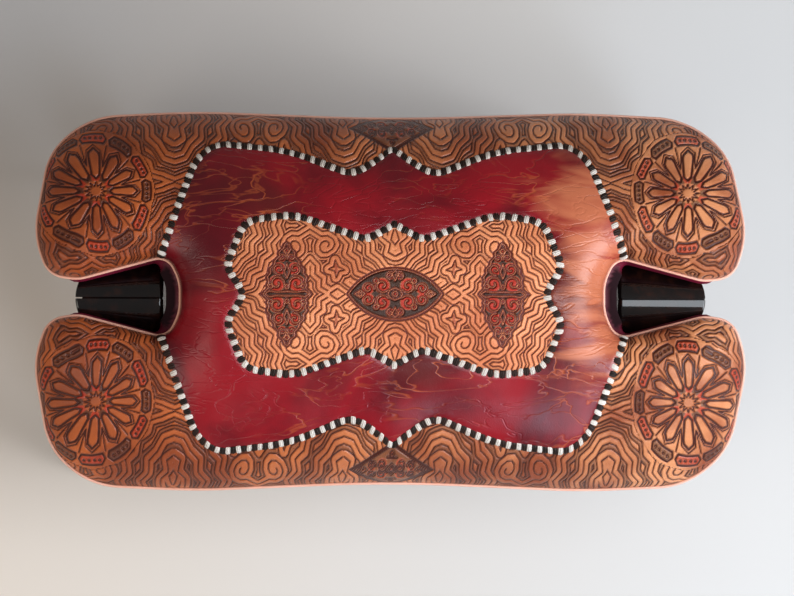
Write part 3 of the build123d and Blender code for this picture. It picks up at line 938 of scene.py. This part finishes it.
def make_grain_group() -> bpy.types.NodeTree:
    """Build the pebbled grain and slow mottling of leather.

    Returns:
        The group.
    """
    group, tree, given, result = make_group(
        "leather_grain",
        {"Vector": ("NodeSocketVector", 0.0), "Pebble": ("NodeSocketFloat", 900.0)},
        {"Height": "NodeSocketFloat", "Mottle": "NodeSocketFloat"},
    )
    cells = tree.add("TexVoronoi", {"Vector": given.outputs[0], "Scale": given.outputs[1]})
    fine = tree.add("TexNoise", {"Vector": given.outputs[0], "Scale": 420.0, "Detail": 4.0})
    slow = tree.add("TexNoise", {"Vector": given.outputs[0], "Scale": 17.0, "Detail": 5.0})
    pebble = tree.scaled(cells.outputs["Distance"], 0.6)
    height = tree.math("ADD", pebble, tree.scaled(fine.outputs[0], 0.6))
    group.links.new(height, result.inputs[0])
    group.links.new(tree.ramp(slow.outputs[0], 0.34, 0.68), result.inputs[1])
    return group


def make_wear_group() -> bpy.types.NodeTree:
    """Build the rubbed patches where hands and use have thinned a finish.

    Returns:
        The group.
    """
    group, tree, given, result = make_group(
        "handling_wear",
        {"Vector": ("NodeSocketVector", 0.0), "Amount": ("NodeSocketFloat", 0.5)},
        {"Mask": "NodeSocketFloat"},
    )
    patch = tree.add("TexNoise", {"Vector": given.outputs[0], "Scale": 9.0, "Detail": 6.0, "Roughness": 0.65})
    mask = tree.math("MULTIPLY", tree.ramp(patch.outputs[0], 0.48, 0.72), given.outputs[1])
    group.links.new(mask, result.inputs[0])
    return group


GRAIN = make_grain_group()
WEAR = make_wear_group()


@dataclass(frozen=True)
class Finish:
    """A finish with one Principled shader."""

    name: str
    roughness: float = 0.5
    coat: float = 0.0
    sheen: float = 0.5
    coat_roughness: float = 0.06
    rough_spread: tuple[float, float] = (-0.05, 0.08)

    def start(self) -> tuple[bpy.types.Material, Tree, bpy.types.Node]:
        """Make the bare material.

        Returns:
            The material, its builder and its Principled node.
        """
        material = bpy.data.materials.new(self.name)
        material.use_nodes = True
        tree = Tree(material.node_tree)
        shader = material.node_tree.nodes["Principled BSDF"]
        shader.inputs["Roughness"].default_value = self.roughness
        shader.inputs["Coat Weight"].default_value = self.coat
        shader.inputs["Coat Roughness"].default_value = self.coat_roughness
        shader.inputs["Specular IOR Level"].default_value = self.sheen
        return material, tree, shader

    def rough(self, tree: Tree, mottle: bpy.types.NodeSocket) -> bpy.types.NodeSocket:
        """Roughness that follows the leather's mottling."""
        low, high = self.rough_spread
        return tree.ramp(mottle, 0.0, 1.0, self.roughness + low, self.roughness + high)

    @staticmethod
    def grain(tree: Tree, vector: bpy.types.NodeSocket, pebble: float) -> bpy.types.Node:
        """Place the leather grain group in a material.

        Args:
            tree: the material's tree.
            vector: the place on the leather.
            pebble: how fine the pebbles are.

        Returns:
            The group's node.
        """
        node = tree.add("Group", node_tree=GRAIN)
        tree.tree.links.new(vector, node.inputs[0])
        node.inputs[1].default_value = pebble
        return node

    @staticmethod
    def wear(tree: Tree, vector: bpy.types.NodeSocket, amount: float) -> bpy.types.NodeSocket:
        """Place the wear group in a material.

        Args:
            tree: the material's tree.
            vector: the place on the surface.
            amount: how strong the wear is.

        Returns:
            The mask's socket.
        """
        node = tree.add("Group", node_tree=WEAR)
        tree.tree.links.new(vector, node.inputs[0])
        node.inputs[1].default_value = amount
        return node.outputs[0]

    @staticmethod
    def bump(tree: Tree, shader: bpy.types.Node, height: object, strength: float, reach: float) -> None:
        """Feed a height to the shader's normal."""
        node = tree.add("Bump", {"Strength": strength, "Distance": reach, "Height": height})
        tree.feed(node.outputs[0], shader, "Normal")


@dataclass(frozen=True)
class EmbossedLeather(Finish):
    """Tan leather with pressed lines, an antique wash in them, painted fills, and painted light: lighter
    towards +X.
    """

    light: Colour = (0.47, 0.108, 0.027, 1.0)
    # painted light: the lighter tan the leather turns to towards +X, as if the lamps light that end more
    painted_lit_tan: Colour = (0.66, 0.260, 0.112, 1.0)
    deep: Colour = (0.24, 0.046, 0.013, 1.0)
    ink: Colour = (0.050, 0.008, 0.004, 1.0)
    red: Colour = (0.40, 0.020, 0.010, 1.0)
    dark: Colour = (0.020, 0.013, 0.011, 1.0)
    line_width: float = 0.68
    rough_spread: tuple[float, float] = (-0.06, 0.08)

    def material(self) -> bpy.types.Material:
        """Build the material.

        Returns:
            The finished material.
        """
        material, tree, shader = self.start()
        place = tree.leather_place()
        grain = self.grain(tree, place, 1300.0)
        line = tree.attribute("line")
        ink = tree.ramp(line, 0.25, self.line_width, 1.0, 0.0)
        wash = tree.ramp(line, 0.2, 1.6, 0.50, 0.0)
        # painted light: the hide ramps from the light tan at -X to the lighter tan at +X
        along = tree.add("SeparateXYZ", {0: place}).outputs[0]
        hide_painted_lit = tree.mix(tree.ramp(along, -0.28, 0.30), self.light, self.painted_lit_tan)
        base = tree.mix(grain.outputs["Mottle"], hide_painted_lit, self.deep)
        rubbed = self.wear(tree, place, 0.35)
        base = tree.mix(rubbed, base, self.deep)
        base = tree.mix(wash, base, self.deep)
        base = tree.mix(tree.attribute("red"), base, self.red)
        base = tree.mix(tree.attribute("dark"), base, self.dark)
        base = tree.mix(ink, base, self.ink)
        tree.feed(base, shader, "Base Color")
        rough = self.rough(tree, grain.outputs["Mottle"])
        tree.feed(rough, shader, "Roughness")
        press = tree.ramp(line, 0.1, 1.3, 0.0, 1.0)
        height = tree.math("ADD", press, tree.scaled(grain.outputs["Height"], 0.22))
        self.bump(tree, shader, height, 1.0, 0.0012)
        return material


@dataclass(frozen=True)
class CrackledLeather(Finish):
    """Oxblood leather, darker in clouds, with orange creases where the colour cracked, and a rubbed orange
    patch before the rear notch that is partly painted sheen.
    """

    bright: Colour = (0.262, 0.003, 0.009, 1.0)
    shade: Colour = (0.080, 0.001, 0.005, 1.0)
    crease: Colour = (0.50, 0.100, 0.026, 1.0)
    # the rubbed patch's orange: partly worn leather, partly a painted sheen of light
    rubbed: Colour = (0.55, 0.165, 0.076, 1.0)
    rough_spread: tuple[float, float] = (-0.05, 0.07)

    def material(self) -> bpy.types.Material:
        """Build the material.

        Returns:
            The finished material.
        """
        material, tree, shader = self.start()
        place = tree.leather_place()
        grain = self.grain(tree, place, 1000.0)
        cloud = tree.add("TexNoise", {"Vector": place, "Scale": 11.0, "Detail": 4.0, "Distortion": 0.6})
        base = tree.mix(tree.ramp(cloud.outputs[0], 0.36, 0.66), self.bright, self.shade)
        crease_masks = []
        for turn, seed, width in ((0.5, 3.0, 0.014), (1.9, 11.0, 0.016)):
            vein = tree.add(
                "TexNoise",
                {"Vector": tree.laid(place, turn, (13.0, 36.0, 1.0)), "W": seed, "Scale": 1.0}
                | {"Detail": 2.6, "Roughness": 0.55, "Distortion": 1.0},
                noise_dimensions="4D",
            )
            middle = tree.math("ABSOLUTE", tree.math("SUBTRACT", vein.outputs[0], 0.5))
            crease_masks.append(tree.ramp(middle, 0.0, width, 1.0, 0.0))
        where = tree.add("TexNoise", {"Vector": place, "Scale": 8.0, "Detail": 2.0})
        both = tree.math("MAXIMUM", crease_masks[0], tree.scaled(crease_masks[1], 0.6))
        mask = tree.math("MULTIPLY", both, tree.ramp(where.outputs[0], 0.46, 0.66))
        glow = tree.scaled(tree.ramp(where.outputs[0], 0.54, 0.76), 0.08)
        base = tree.mix(glow, base, self.crease)
        base = tree.mix(tree.scaled(mask, 0.62), base, self.crease)
        # partly rubbed leather and partly a painted sheen at the band's rear end
        base = tree.mix(self.rub_and_sheen_patch(tree, place, cloud.outputs[0]), base, self.rubbed)
        tree.feed(base, shader, "Base Color")
        rough = self.rough(tree, grain.outputs["Mottle"])
        tree.feed(rough, shader, "Roughness")
        height = tree.math("SUBTRACT", tree.scaled(grain.outputs["Height"], 0.35), both)
        self.bump(tree, shader, height, 0.45, 0.0006)
        return material

    @staticmethod
    def rub_and_sheen_patch(
        tree: Tree, place: bpy.types.NodeSocket, cloud: bpy.types.NodeSocket
    ) -> bpy.types.NodeSocket:
        """Mask the cloudy place before the rear notch where sitting has rubbed the colour off; the patch also
        carries a painted sheen of light.

        Args:
            tree: the material's tree.
            place: the place on the leather, in metres.
            cloud: a slow noise that breaks the edge.

        Returns:
            The mask.
        """
        settings = {"Vector": place, "Location": (-4.25, -0.25, 0.0), "Scale": (24.0, 9.0, 1.0)}
        spot = tree.add("Mapping", settings).outputs[0]
        edge = tree.add("VectorMath", {0: spot}, operation="LENGTH").outputs["Value"]
        folds = {"Vector": tree.laid(place, 1.2, (14.0, 44.0, 1.0)), "Scale": 1.0}
        streak = tree.add("TexNoise", folds | {"Detail": 3.0, "Distortion": 0.8}).outputs[0]
        for noise, strength in ((cloud, 1.5), (streak, 3.0)):
            edge = tree.math("ADD", edge, tree.scaled(tree.math("SUBTRACT", noise, 0.5), strength))
        return tree.ramp(edge, 0.20, 1.25, 0.84, 0.0)


@dataclass(frozen=True)
class PlainLeather(Finish):
    """Plain leather of one colour, for the underside, the piping and the thongs, with painted shade where the
    underside lines the notches' inner ends.
    """

    colour: Colour = (0.2, 0.02, 0.02, 1.0)
    rubbed: Colour = (0.1, 0.01, 0.01, 1.0)
    pebble: float = 900.0
    # painted shade: the near-black colour and the switch for the shaded inner ends of the notches
    dark: Colour = (0.012, 0.002, 0.004, 1.0)
    shades_notch_ends: bool = False

    def material(self) -> bpy.types.Material:
        """Build the material.

        Returns:
            The finished material.
        """
        material, tree, shader = self.start()
        place = tree.add("TexCoord").outputs["Object"]
        grain = self.grain(tree, place, self.pebble)
        mottle = tree.scaled(grain.outputs["Mottle"], 0.5)
        tone = tree.math("MAXIMUM", self.wear(tree, place, 0.6), mottle)
        base = tree.mix(tone, self.colour, self.rubbed)
        # painted shade: near black and dull where the notches' inner ends lie in shade
        if self.shades_notch_ends:
            base = tree.mix(tree.attribute("notch_shade"), base, self.dark)
        tree.feed(base, shader, "Base Color")
        rough = self.rough(tree, grain.outputs["Mottle"])
        if self.shades_notch_ends:
            rough = tree.math("MAXIMUM", rough, tree.attribute("notch_shade"))
        tree.feed(rough, shader, "Roughness")
        self.bump(tree, shader, grain.outputs["Height"], 0.35, 0.0004)
        return material


@dataclass(frozen=True)
class LacqueredWood(Finish):
    """Hardwood under black-brown gloss lacquer, with faint grain and rubbed places."""

    colour: Colour = (0.004, 0.002, 0.002, 1.0)
    grain_colour: Colour = (0.018, 0.005, 0.003, 1.0)
    worn: Colour = (0.040, 0.013, 0.006, 1.0)

    def material(self) -> bpy.types.Material:
        """Build the material.

        Returns:
            The finished material.
        """
        material, tree, shader = self.start()
        place = tree.add("TexCoord").outputs["Object"]
        along = tree.add("Mapping", {"Vector": place, "Scale": (34.0, 34.0, 4.0)}).outputs[0]
        figure = tree.add("TexNoise", {"Vector": along, "Scale": 3.0, "Detail": 7.0, "Distortion": 0.4})
        base = tree.mix(tree.ramp(figure.outputs[0], 0.46, 0.74), self.colour, self.grain_colour)
        rubbed = self.wear(tree, place, 0.30)
        base = tree.mix(rubbed, base, self.worn)
        tree.feed(base, shader, "Base Color")
        rough = tree.ramp(rubbed, 0.0, 0.3, self.roughness, self.roughness + 0.12)
        tree.feed(rough, shader, "Roughness")
        self.bump(tree, shader, figure.outputs[0], 0.10, 0.0006)
        return material


@dataclass
class LeatherPanel:
    """One panel of the cushion's cover."""

    name: str
    region: Callable[[np.ndarray, np.ndarray], np.ndarray]
    x_span: tuple[float, float]
    y_span: tuple[float, float]
    spacing: float
    slot: str
    replaces: tuple[str, ...]
    motifs: tuple[tuple[Motif, float, float], ...] = ()
    pitch: float = 7.8
    shade: float = 0.42
    shift: tuple[float, float] = (32.0, 21.0)
    embossed: bool = True
    layer: Layer = Layer.TOP
    relief: float = 0.45
    relief_edge: tuple[float, float] = (0.1, 1.4)

    def build(self, form: StuffedForm, finish: bpy.types.Material) -> bpy.types.Object:
        """Cut, press and drape the panel.

        Args:
            form: the stuffed shape that it covers.
            finish: its material.

        Returns:
            The panel.
        """
        x, y, faces, _ = lay_grid(self.region, self.x_span, self.y_span, self.spacing)
        px, py, pz = form.place(x, y, self.layer)
        attributes = {"leather": np.stack([x, y, np.zeros_like(x)], 1) * MM}
        if self.embossed:
            pattern = leather_pattern(x, y, self.pitch, self.shift, self.shade, self.motifs)
            pz = pz - self.relief * (1 - smooth(pattern.line, *self.relief_edge))
            attributes |= {"line": pattern.line, "red": pattern.red, "dark": pattern.dark}
        if self.layer is Layer.BASE:
            faces = faces[:, ::-1]
            # painted shade: mark the notches' inner ends, deep in shade, to be painted near black
            signed, near_x, near_y = PAD_LINE.nearest(x, y)
            end = plateau(np.abs(near_x), PAD.shade_end_inner, PAD.shade_end_outer)
            end = end * (1 - smooth(np.abs(near_y), *PAD.shade_end_side))
            attributes["notch_shade"] = end * smooth(-signed, *PAD.shade_end_inset)
        piece = mesh_object(self.name, np.stack([px, py, pz], 1), faces, attributes)
        piece.data.materials.append(finish)
        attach(piece, "cushion")
        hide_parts(*self.replaces)
        LOG.info("%s: %d faces", self.name, len(faces))
        return piece


def inside_band(x: np.ndarray, y: np.ndarray) -> np.ndarray:
    """Signed distance to the oxblood band's outline."""
    inner = -CENTRE_LINE.distance(x, y)
    return np.maximum(np.maximum(BORDER_LINE.distance(x, y), inner), PAD_LINE.distance(x, y))


def inside_border(x: np.ndarray, y: np.ndarray) -> np.ndarray:
    """Signed distance to a border panel's outline."""
    return np.maximum(PAD_LINE.distance(x, y), -BORDER_LINE.distance(x, y))


def walk(line: np.ndarray, count: int, closed: bool) -> tuple[np.ndarray, np.ndarray]:
    """Places at even steps along a line.

    Args:
        line: points of the line.
        count: how many places.
        closed: whether the line joins its own start.

    Returns:
        The places and the headings there.
    """
    if closed:
        line = np.vstack([line, line[:1]])
    steps = np.hypot(*np.diff(line, axis=0).T)
    run = np.concatenate([[0.0], np.cumsum(steps)])
    at = (np.arange(count) + 0.5) / count * run[-1]
    ahead, behind = at + HEADING_REACH, at - HEADING_REACH
    if closed:
        ahead, behind = ahead % run[-1], behind % run[-1]
    ahead, behind = np.clip(ahead, 0, run[-1]), np.clip(behind, 0, run[-1])

    def point(where: np.ndarray) -> np.ndarray:
        """Points at those runs."""
        return np.stack([np.interp(where, run, line[:, 0]), np.interp(where, run, line[:, 1])], 1)

    heading = point(ahead) - point(behind)
    return point(at), heading / np.linalg.norm(heading, axis=1)[:, None]


@dataclass
class Lacing:
    """Black and white thongs laced by turns over a seam."""

    name: str
    line: np.ndarray
    closed: bool
    count: int
    seed: int
    width: float = 8.8
    length: float = 5.7
    height: float = 2.7
    strands: float = 3.0
    feel: float = 2.5
    sink: float = 0.5
    cells: int = 13
    skew: float = 0.16
    stretch: float = 0.08
    black_scale: float = 1.06
    white_scale: float = 0.94

    def places(self, form: StuffedForm) -> list[tuple[np.ndarray, np.ndarray, np.ndarray, np.ndarray]]:
        """Set every stitch on the draped seam.

        Args:
            form: the stuffed shape under the seam.

        Returns:
            Each stitch's origin, heading, cross direction and normal.
        """
        plan, heading = walk(self.line, 2 * self.count, self.closed)
        centre = np.stack(form.place(plan[:, 0], plan[:, 1], Layer.TOP), 1)
        frames = []
        for axis in (heading, np.stack([-heading[:, 1], heading[:, 0]], 1)):
            low = plan - axis * self.feel
            high = plan + axis * self.feel
            span = np.stack(form.place(high[:, 0], high[:, 1], Layer.TOP), 1)
            span = span - np.stack(form.place(low[:, 0], low[:, 1], Layer.TOP), 1)
            frames.append(span / np.linalg.norm(span, axis=1)[:, None])
        normal = np.cross(frames[0], frames[1])
        normal /= np.linalg.norm(normal, axis=1)[:, None]
        return list(zip(centre, frames[0], frames[1], normal))

    def build(
        self, form: StuffedForm, thong: Thong, first: int, finish: bpy.types.Material
    ) -> bpy.types.Object:
        """Lace every second stitch.

        Args:
            form: the stuffed shape under the seam.
            thong: which colour, which ends the node's name.
            first: the first stitch's number.
            finish: its material.

        Returns:
            The thong's stitches as one piece.
        """
        rng = np.random.default_rng(self.seed + first)
        steps = np.linspace(-1, 1, self.cells)
        u, v = np.meshgrid(steps, steps, indexing="ij")
        dome = np.sqrt(np.maximum(1 - np.abs(u) ** 2.2, 0)) * np.sqrt(np.maximum(1 - np.abs(v) ** 2.6, 0))
        strand = 0.62 + 0.38 * np.abs(np.cos(np.pi * self.strands * v / 2))
        index = np.arange(u.size).reshape(u.shape)
        quads = np.stack([index[:-1, :-1], index[1:, :-1], index[1:, 1:], index[:-1, 1:]], -1).reshape(-1, 4)
        verts, faces = [], []
        scale = self.white_scale if thong is Thong.WHITE else self.black_scale
        for number, (origin, along, across, normal) in enumerate(self.places(form)[first::2]):
            skew = rng.uniform(-self.skew, self.skew)
            stretch = rng.uniform(1 - self.stretch, 1 + self.stretch)
            lift = self.height * stretch * dome * strand - self.sink
            reach_u = u * self.width / 2 * stretch
            reach_v = v * self.length / 2 * scale * (1 - 0.22 * u**2) + skew * reach_u
            shape = (
                origin
                + reach_v[..., None] * along
                + reach_u[..., None] * across
                + lift[..., None] * normal
            )
            verts.append(shape.reshape(-1, 3))
            faces.append(quads[:, ::-1] + number * u.size)
        colour = thong.value
        node = f"{self.name}_lacing_{colour}"
        piece = mesh_object(f"{node}_stitches", np.vstack(verts), np.vstack(faces))
        piece.data.materials.append(finish)
        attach(piece, "cushion")
        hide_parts(node)
        LOG.info("%s: %d stitches", node, len(verts))
        return piece


@dataclass
class Piping:
    """The round leather piping in the seam between the top and the underside."""

    radius: float = 1.25
    proud: float = 0.75
    sides: int = 10
    rings: int = 1400

    def build(self, finish: bpy.types.Material) -> bpy.types.Object:
        """Run the piping round the whole cushion.

        Args:
            finish: its material.

        Returns:
            The piping.
        """
        plan, heading = walk(PAD_LINE.loop(), self.rings, True)
        outward = np.stack([-heading[:, 1], heading[:, 0]], 1)
        centre = plan + outward * self.radius * self.proud
        height = seam_height(plan[:, 0], plan[:, 1])
        angle = np.arange(self.sides) / self.sides * math.tau
        ring_x = centre[:, None, 0] + outward[:, None, 0] * np.cos(angle) * self.radius
        ring_y = centre[:, None, 1] + outward[:, None, 1] * np.cos(angle) * self.radius
        ring_z = height[:, None] + np.sin(angle) * self.radius
        index = np.arange(self.rings * self.sides).reshape(self.rings, self.sides)
        after, turned = np.roll(index, -1, 0), np.roll(index, -1, 1)
        faces = np.stack([index, after, np.roll(after, -1, 1), turned], -1).reshape(-1, 4)
        verts = np.stack([ring_x, ring_y, ring_z], -1).reshape(-1, 3)
        piece = mesh_object("piping_cord", verts, faces)
        piece.data.materials.append(finish)
        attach(piece, "cushion")
        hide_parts("piping")
        LOG.info("piping_cord: %d rings", self.rings)
        return piece


@dataclass
class Cushion:
    """The whole cushion: five panels, the piping and three laced seams."""

    border_spacing: float = 0.86
    centre_spacing: float = 0.66
    band_spacing: float = 1.25
    base_spacing: float = 2.2
    rosette_x: float = 266.0
    rosette_y: float = 94.5
    diamond_y: float = 146.5
    palmette_x: float = 96.5
    rim: float = 2.0
    band_half: tuple[float, float] = (216.0, 139.0)
    centre_half: tuple[float, float] = (152.0, 75.0)
    border_start: float = 8.0
    border_stitches: int = 58
    centre_stitches: int = 77
    seam_end: float = 3.0
    seam_steps: int = 1600

    def build(self) -> None:
        """Build and dress every piece of the cushion."""
        form = StuffedForm()
        form.settle()
        tan = EmbossedLeather("tan_leather_finish", roughness=0.35, sheen=0.30).material()
        light = EmbossedLeather(
            "light_tan_leather_finish",
            roughness=0.38,
            sheen=0.30,
            light=(0.80, 0.295, 0.132, 1.0),
            # painted light: the centre's lighter tan towards +X
            painted_lit_tan=(0.88, 0.330, 0.148, 1.0),
            deep=(0.56, 0.155, 0.060, 1.0),
            ink=(0.115, 0.017, 0.010, 1.0),
            line_width=0.72,
        ).material()
        oxblood = CrackledLeather("oxblood_leather_finish", roughness=0.33, sheen=0.42).material()
        base = PlainLeather(
            "base_leather_finish",
            roughness=0.42,
            sheen=0.25,
            colour=(0.15, 0.006, 0.024, 1.0),
            rubbed=(0.06, 0.003, 0.010, 1.0),
            # painted shade at the notches' inner ends
            shades_notch_ends=True,
        ).material()
        half_length, half_width = PAD.half_length + self.rim, PAD.half_width + self.rim
        for side, name in ((-1, "left"), (1, "right")):
            low, high = sorted((side * self.border_start, side * half_width))
            LeatherPanel(
                f"{name}_border_leather",
                inside_border,
                both_ways(half_length),
                (low, high),
                self.border_spacing,
                "tan_leather",
                (f"{name}_border_panel",),
                (
                    (Motif.ROSETTE, -self.rosette_x, side * self.rosette_y),
                    (Motif.ROSETTE, self.rosette_x, side * self.rosette_y),
                    (Motif.DIAMOND, 0.0, side * self.diamond_y),
                ),
            ).build(form, tan)
        LeatherPanel(
            "oxblood_leather",
            inside_band,
            both_ways(self.band_half[0]),
            both_ways(self.band_half[1]),
            self.band_spacing,
            "oxblood_leather",
            ("oxblood_band",),
            embossed=False,
        ).build(form, oxblood)
        LeatherPanel(
            "centre_leather",
            CENTRE_LINE.distance,
            both_ways(self.centre_half[0]),
            both_ways(self.centre_half[1]),
            self.centre_spacing,
            "light_tan_leather",
            ("centre_panel",),
            (
                (Motif.ALMOND, 0.0, 0.0),
                (Motif.PALMETTE, -self.palmette_x, 0.0),
                (Motif.PALMETTE, self.palmette_x, 0.0),
            ),
            pitch=7.4,
            shade=0.08,
            shift=(76.0, 0.0),
        ).build(form, light)
        LeatherPanel(
            "base_leather",
            PAD_LINE.distance,
            both_ways(half_length),
            both_ways(half_width),
            self.base_spacing,
            "base_leather",
            ("left_base_panel", "right_base_panel", "cushion_core"),
            embossed=False,
            layer=Layer.BASE,
        ).build(form, base)
        cord = PlainLeather(
            "piping_finish",
            roughness=0.45,
            colour=(0.80, 0.42, 0.31, 1.0),
            rubbed=(0.62, 0.28, 0.18, 1.0),
        ).material()
        Piping().build(cord)
        self.lace(form)

    def lace(self, form: StuffedForm) -> None:
        """Lace the three seams in black and white.

        Args:
            form: the stuffed shape under the seams.
        """
        white = PlainLeather(
            "white_thong_finish",
            roughness=0.6,
            colour=(0.66, 0.60, 0.54, 1.0),
            rubbed=(0.42, 0.34, 0.28, 1.0),
        ).material()
        black = PlainLeather(
            "black_thong_finish",
            roughness=0.45,
            sheen=0.15,
            colour=(0.014, 0.008, 0.006, 1.0),
            rubbed=(0.035, 0.015, 0.010, 1.0),
        ).material()
        seams = []
        for side, name in ((-1, "left"), (1, "right")):
            line = BORDER_LINE.half(side)
            fine = walk(line, self.seam_steps, False)[0]
            held = PAD_LINE.distance(fine[:, 0], fine[:, 1]) < -self.seam_end
            seams.append(Lacing(name, fine[held], False, self.border_stitches, seed=side + 5))
        seams.append(Lacing("centre", CENTRE_LINE.loop(), True, self.centre_stitches, seed=17))
        for seam in seams:
            seam.build(form, Thong.BLACK, 0, black)
            seam.build(form, Thong.WHITE, 1, white)


@dataclass
class WoodenFrame:
    """The arches and rails, which keep the CAD shapes and get their lacquer here."""

    bare: tuple[str, ...] = ("front_crown_dowels", "rear_crown_dowels")

    def dress(self) -> None:
        """Give every wooden node its material."""
        lacquer = LacqueredWood("lacquer_finish", roughness=0.35, coat=1.0, sheen=0.05).material()
        dowel = PlainLeather(
            "bare_dowel_finish", roughness=0.6, colour=(0.42, 0.27, 0.15, 1.0), rubbed=(0.30, 0.18, 0.09, 1.0)
        ).material()
        for node in frame["record"]["behaviour"]["bodies"]["frame"]:
            piece = frame["nodes"][node]
            finish = dowel if node in self.bare else lacquer
            piece.data.materials.clear()
            piece.data.materials.append(finish)
            LOG.info("%s dressed", node)


@dataclass(frozen=True)
class SoftBox:
    """A rectangular lamp: where it stands, what it faces, its size in metres and its watts."""

    name: str
    place: tuple[float, float, float]
    aim: tuple[float, float, float]
    size: tuple[float, float]
    power: float
    colour: tuple[float, float, float]

    def hang(self) -> None:
        """Add the lamp to the scene."""
        data = bpy.data.lights.new(self.name, "AREA")
        data.shape, data.size, data.size_y = "RECTANGLE", self.size[0], self.size[1]
        data.energy, data.color = self.power, self.colour
        lamp = bpy.data.objects.new(self.name, data)
        lamp.location = self.place
        lamp.rotation_euler = (Vector(self.aim) - Vector(self.place)).to_track_quat("-Z", "Y").to_euler()
        bpy.context.collection.objects.link(lamp)


SOFT_BOXES = (
    SoftBox("key", (0.85, -0.24, 1.75), (0.0, -0.05, 0.35), (0.62, 1.5), 18.0, (0.86, 0.93, 1.0)),
    SoftBox("fill", (-1.5, -0.9, 1.6), (0.0, 0.0, 0.3), (1.6, 1.6), 19.0, (1.0, 0.92, 0.82)),
    SoftBox("window", (2.1, -0.35, 1.35), (0.0, 0.0, 0.3), (1.3, 1.1), 48.0, (0.90, 0.94, 1.0)),
    SoftBox("sky", (0.75, -1.45, 1.15), (0.1, -0.1, 0.3), (0.7, 0.7), 12.0, (0.68, 0.82, 1.0)),
)


@dataclass
class Studio:
    """Floor, lamps, world and camera."""

    floor_half: float = 6.0
    world_colour: Colour = (1.0, 0.98, 0.95, 1.0)
    world_strength: float = 0.22
    # painted light: the floor's warm and cool tones stand in for the lamps, with painted shade at the far
    # left
    left_tone: Colour = (0.70, 0.61, 0.525, 1.0)
    right_tone: Colour = (0.60, 0.58, 0.56, 1.0)
    far_left_shade_tone: Colour = (0.43, 0.41, 0.40, 1.0)

    def build(self) -> None:
        """Set the whole studio up."""
        self.floor()
        for soft_box in SOFT_BOXES:
            soft_box.hang()
        world = bpy.data.worlds.new("studio")
        world.use_nodes = True
        world.node_tree.nodes["Background"].inputs[0].default_value = self.world_colour
        world.node_tree.nodes["Background"].inputs[1].default_value = self.world_strength
        bpy.context.scene.world = world
        bpy.context.scene.view_settings.view_transform = "Standard"
        self.camera()

    def floor(self) -> None:
        """A pale floor painted with the room's light: warm grey on the left to cool white on the right, and
        painted shade at the far left.
        """
        half = self.floor_half / MM
        verts = np.array([(-half, -half, 0), (half, -half, 0), (half, half, 0), (-half, half, 0)], float)
        piece = mesh_object("floor", verts, np.array([[0, 1, 2, 3]]))
        material, tree, shader = Finish("floor_finish", roughness=0.7).start()
        place = tree.add("TexCoord").outputs["Object"]
        axes = tree.add("SeparateXYZ", {0: place})
        # painted light: warm on the left to cool on the right
        tone = tree.ramp(axes.outputs[0], -0.55, 0.42)
        colour = tree.mix(tone, self.left_tone, self.right_tone)
        # painted shade: darker towards the far left corner
        left, far = tree.ramp(axes.outputs[0], -0.35, 0.25, 1.0, 0.0), tree.ramp(axes.outputs[1], -0.05, 0.3)
        corner_shade = tree.math("MULTIPLY", left, far)
        colour = tree.mix(corner_shade, colour, self.far_left_shade_tone)
        tree.feed(colour, shader, "Base Color")
        piece.data.materials.append(material)

    @staticmethod
    def camera() -> None:
        """Stand the camera over the stool as in the photograph."""
        data = bpy.data.cameras.new("camera")
        view_width = IMAGE_WIDTH * MM_PER_PIXEL * MM
        data.sensor_width = SENSOR_WIDTH
        data.lens = SENSOR_WIDTH * CAMERA_DISTANCE / view_width
        shift_x = (IMAGE_WIDTH / 2 - CROWN_PIXEL[0]) * MM_PER_PIXEL * MM
        shift_y = (CROWN_PIXEL[1] - IMAGE_HEIGHT / 2) * MM_PER_PIXEL * MM
        away = Vector((*CAMERA_LEAN, 1.0)).normalized()
        up = (Vector((0, 1, 0)) - away * away.y).normalized()
        side = up.cross(away)
        target = Vector((0, 0, PAD.crown * MM)) + side * shift_x + up * shift_y
        camera = bpy.data.objects.new("camera", data)
        camera.location = target + away * CAMERA_DISTANCE
        camera.rotation_euler = Matrix((side, up, away)).transposed().to_euler()
        bpy.context.collection.objects.link(camera)
        bpy.context.scene.camera = camera


def main() -> None:
    """Build the stool's looks in order."""
    logging.basicConfig(level=logging.INFO, format="%(name)s %(message)s")
    WoodenFrame().dress()
    Cushion().build()
    Studio().build()


if __name__ == "__main__":
    main()
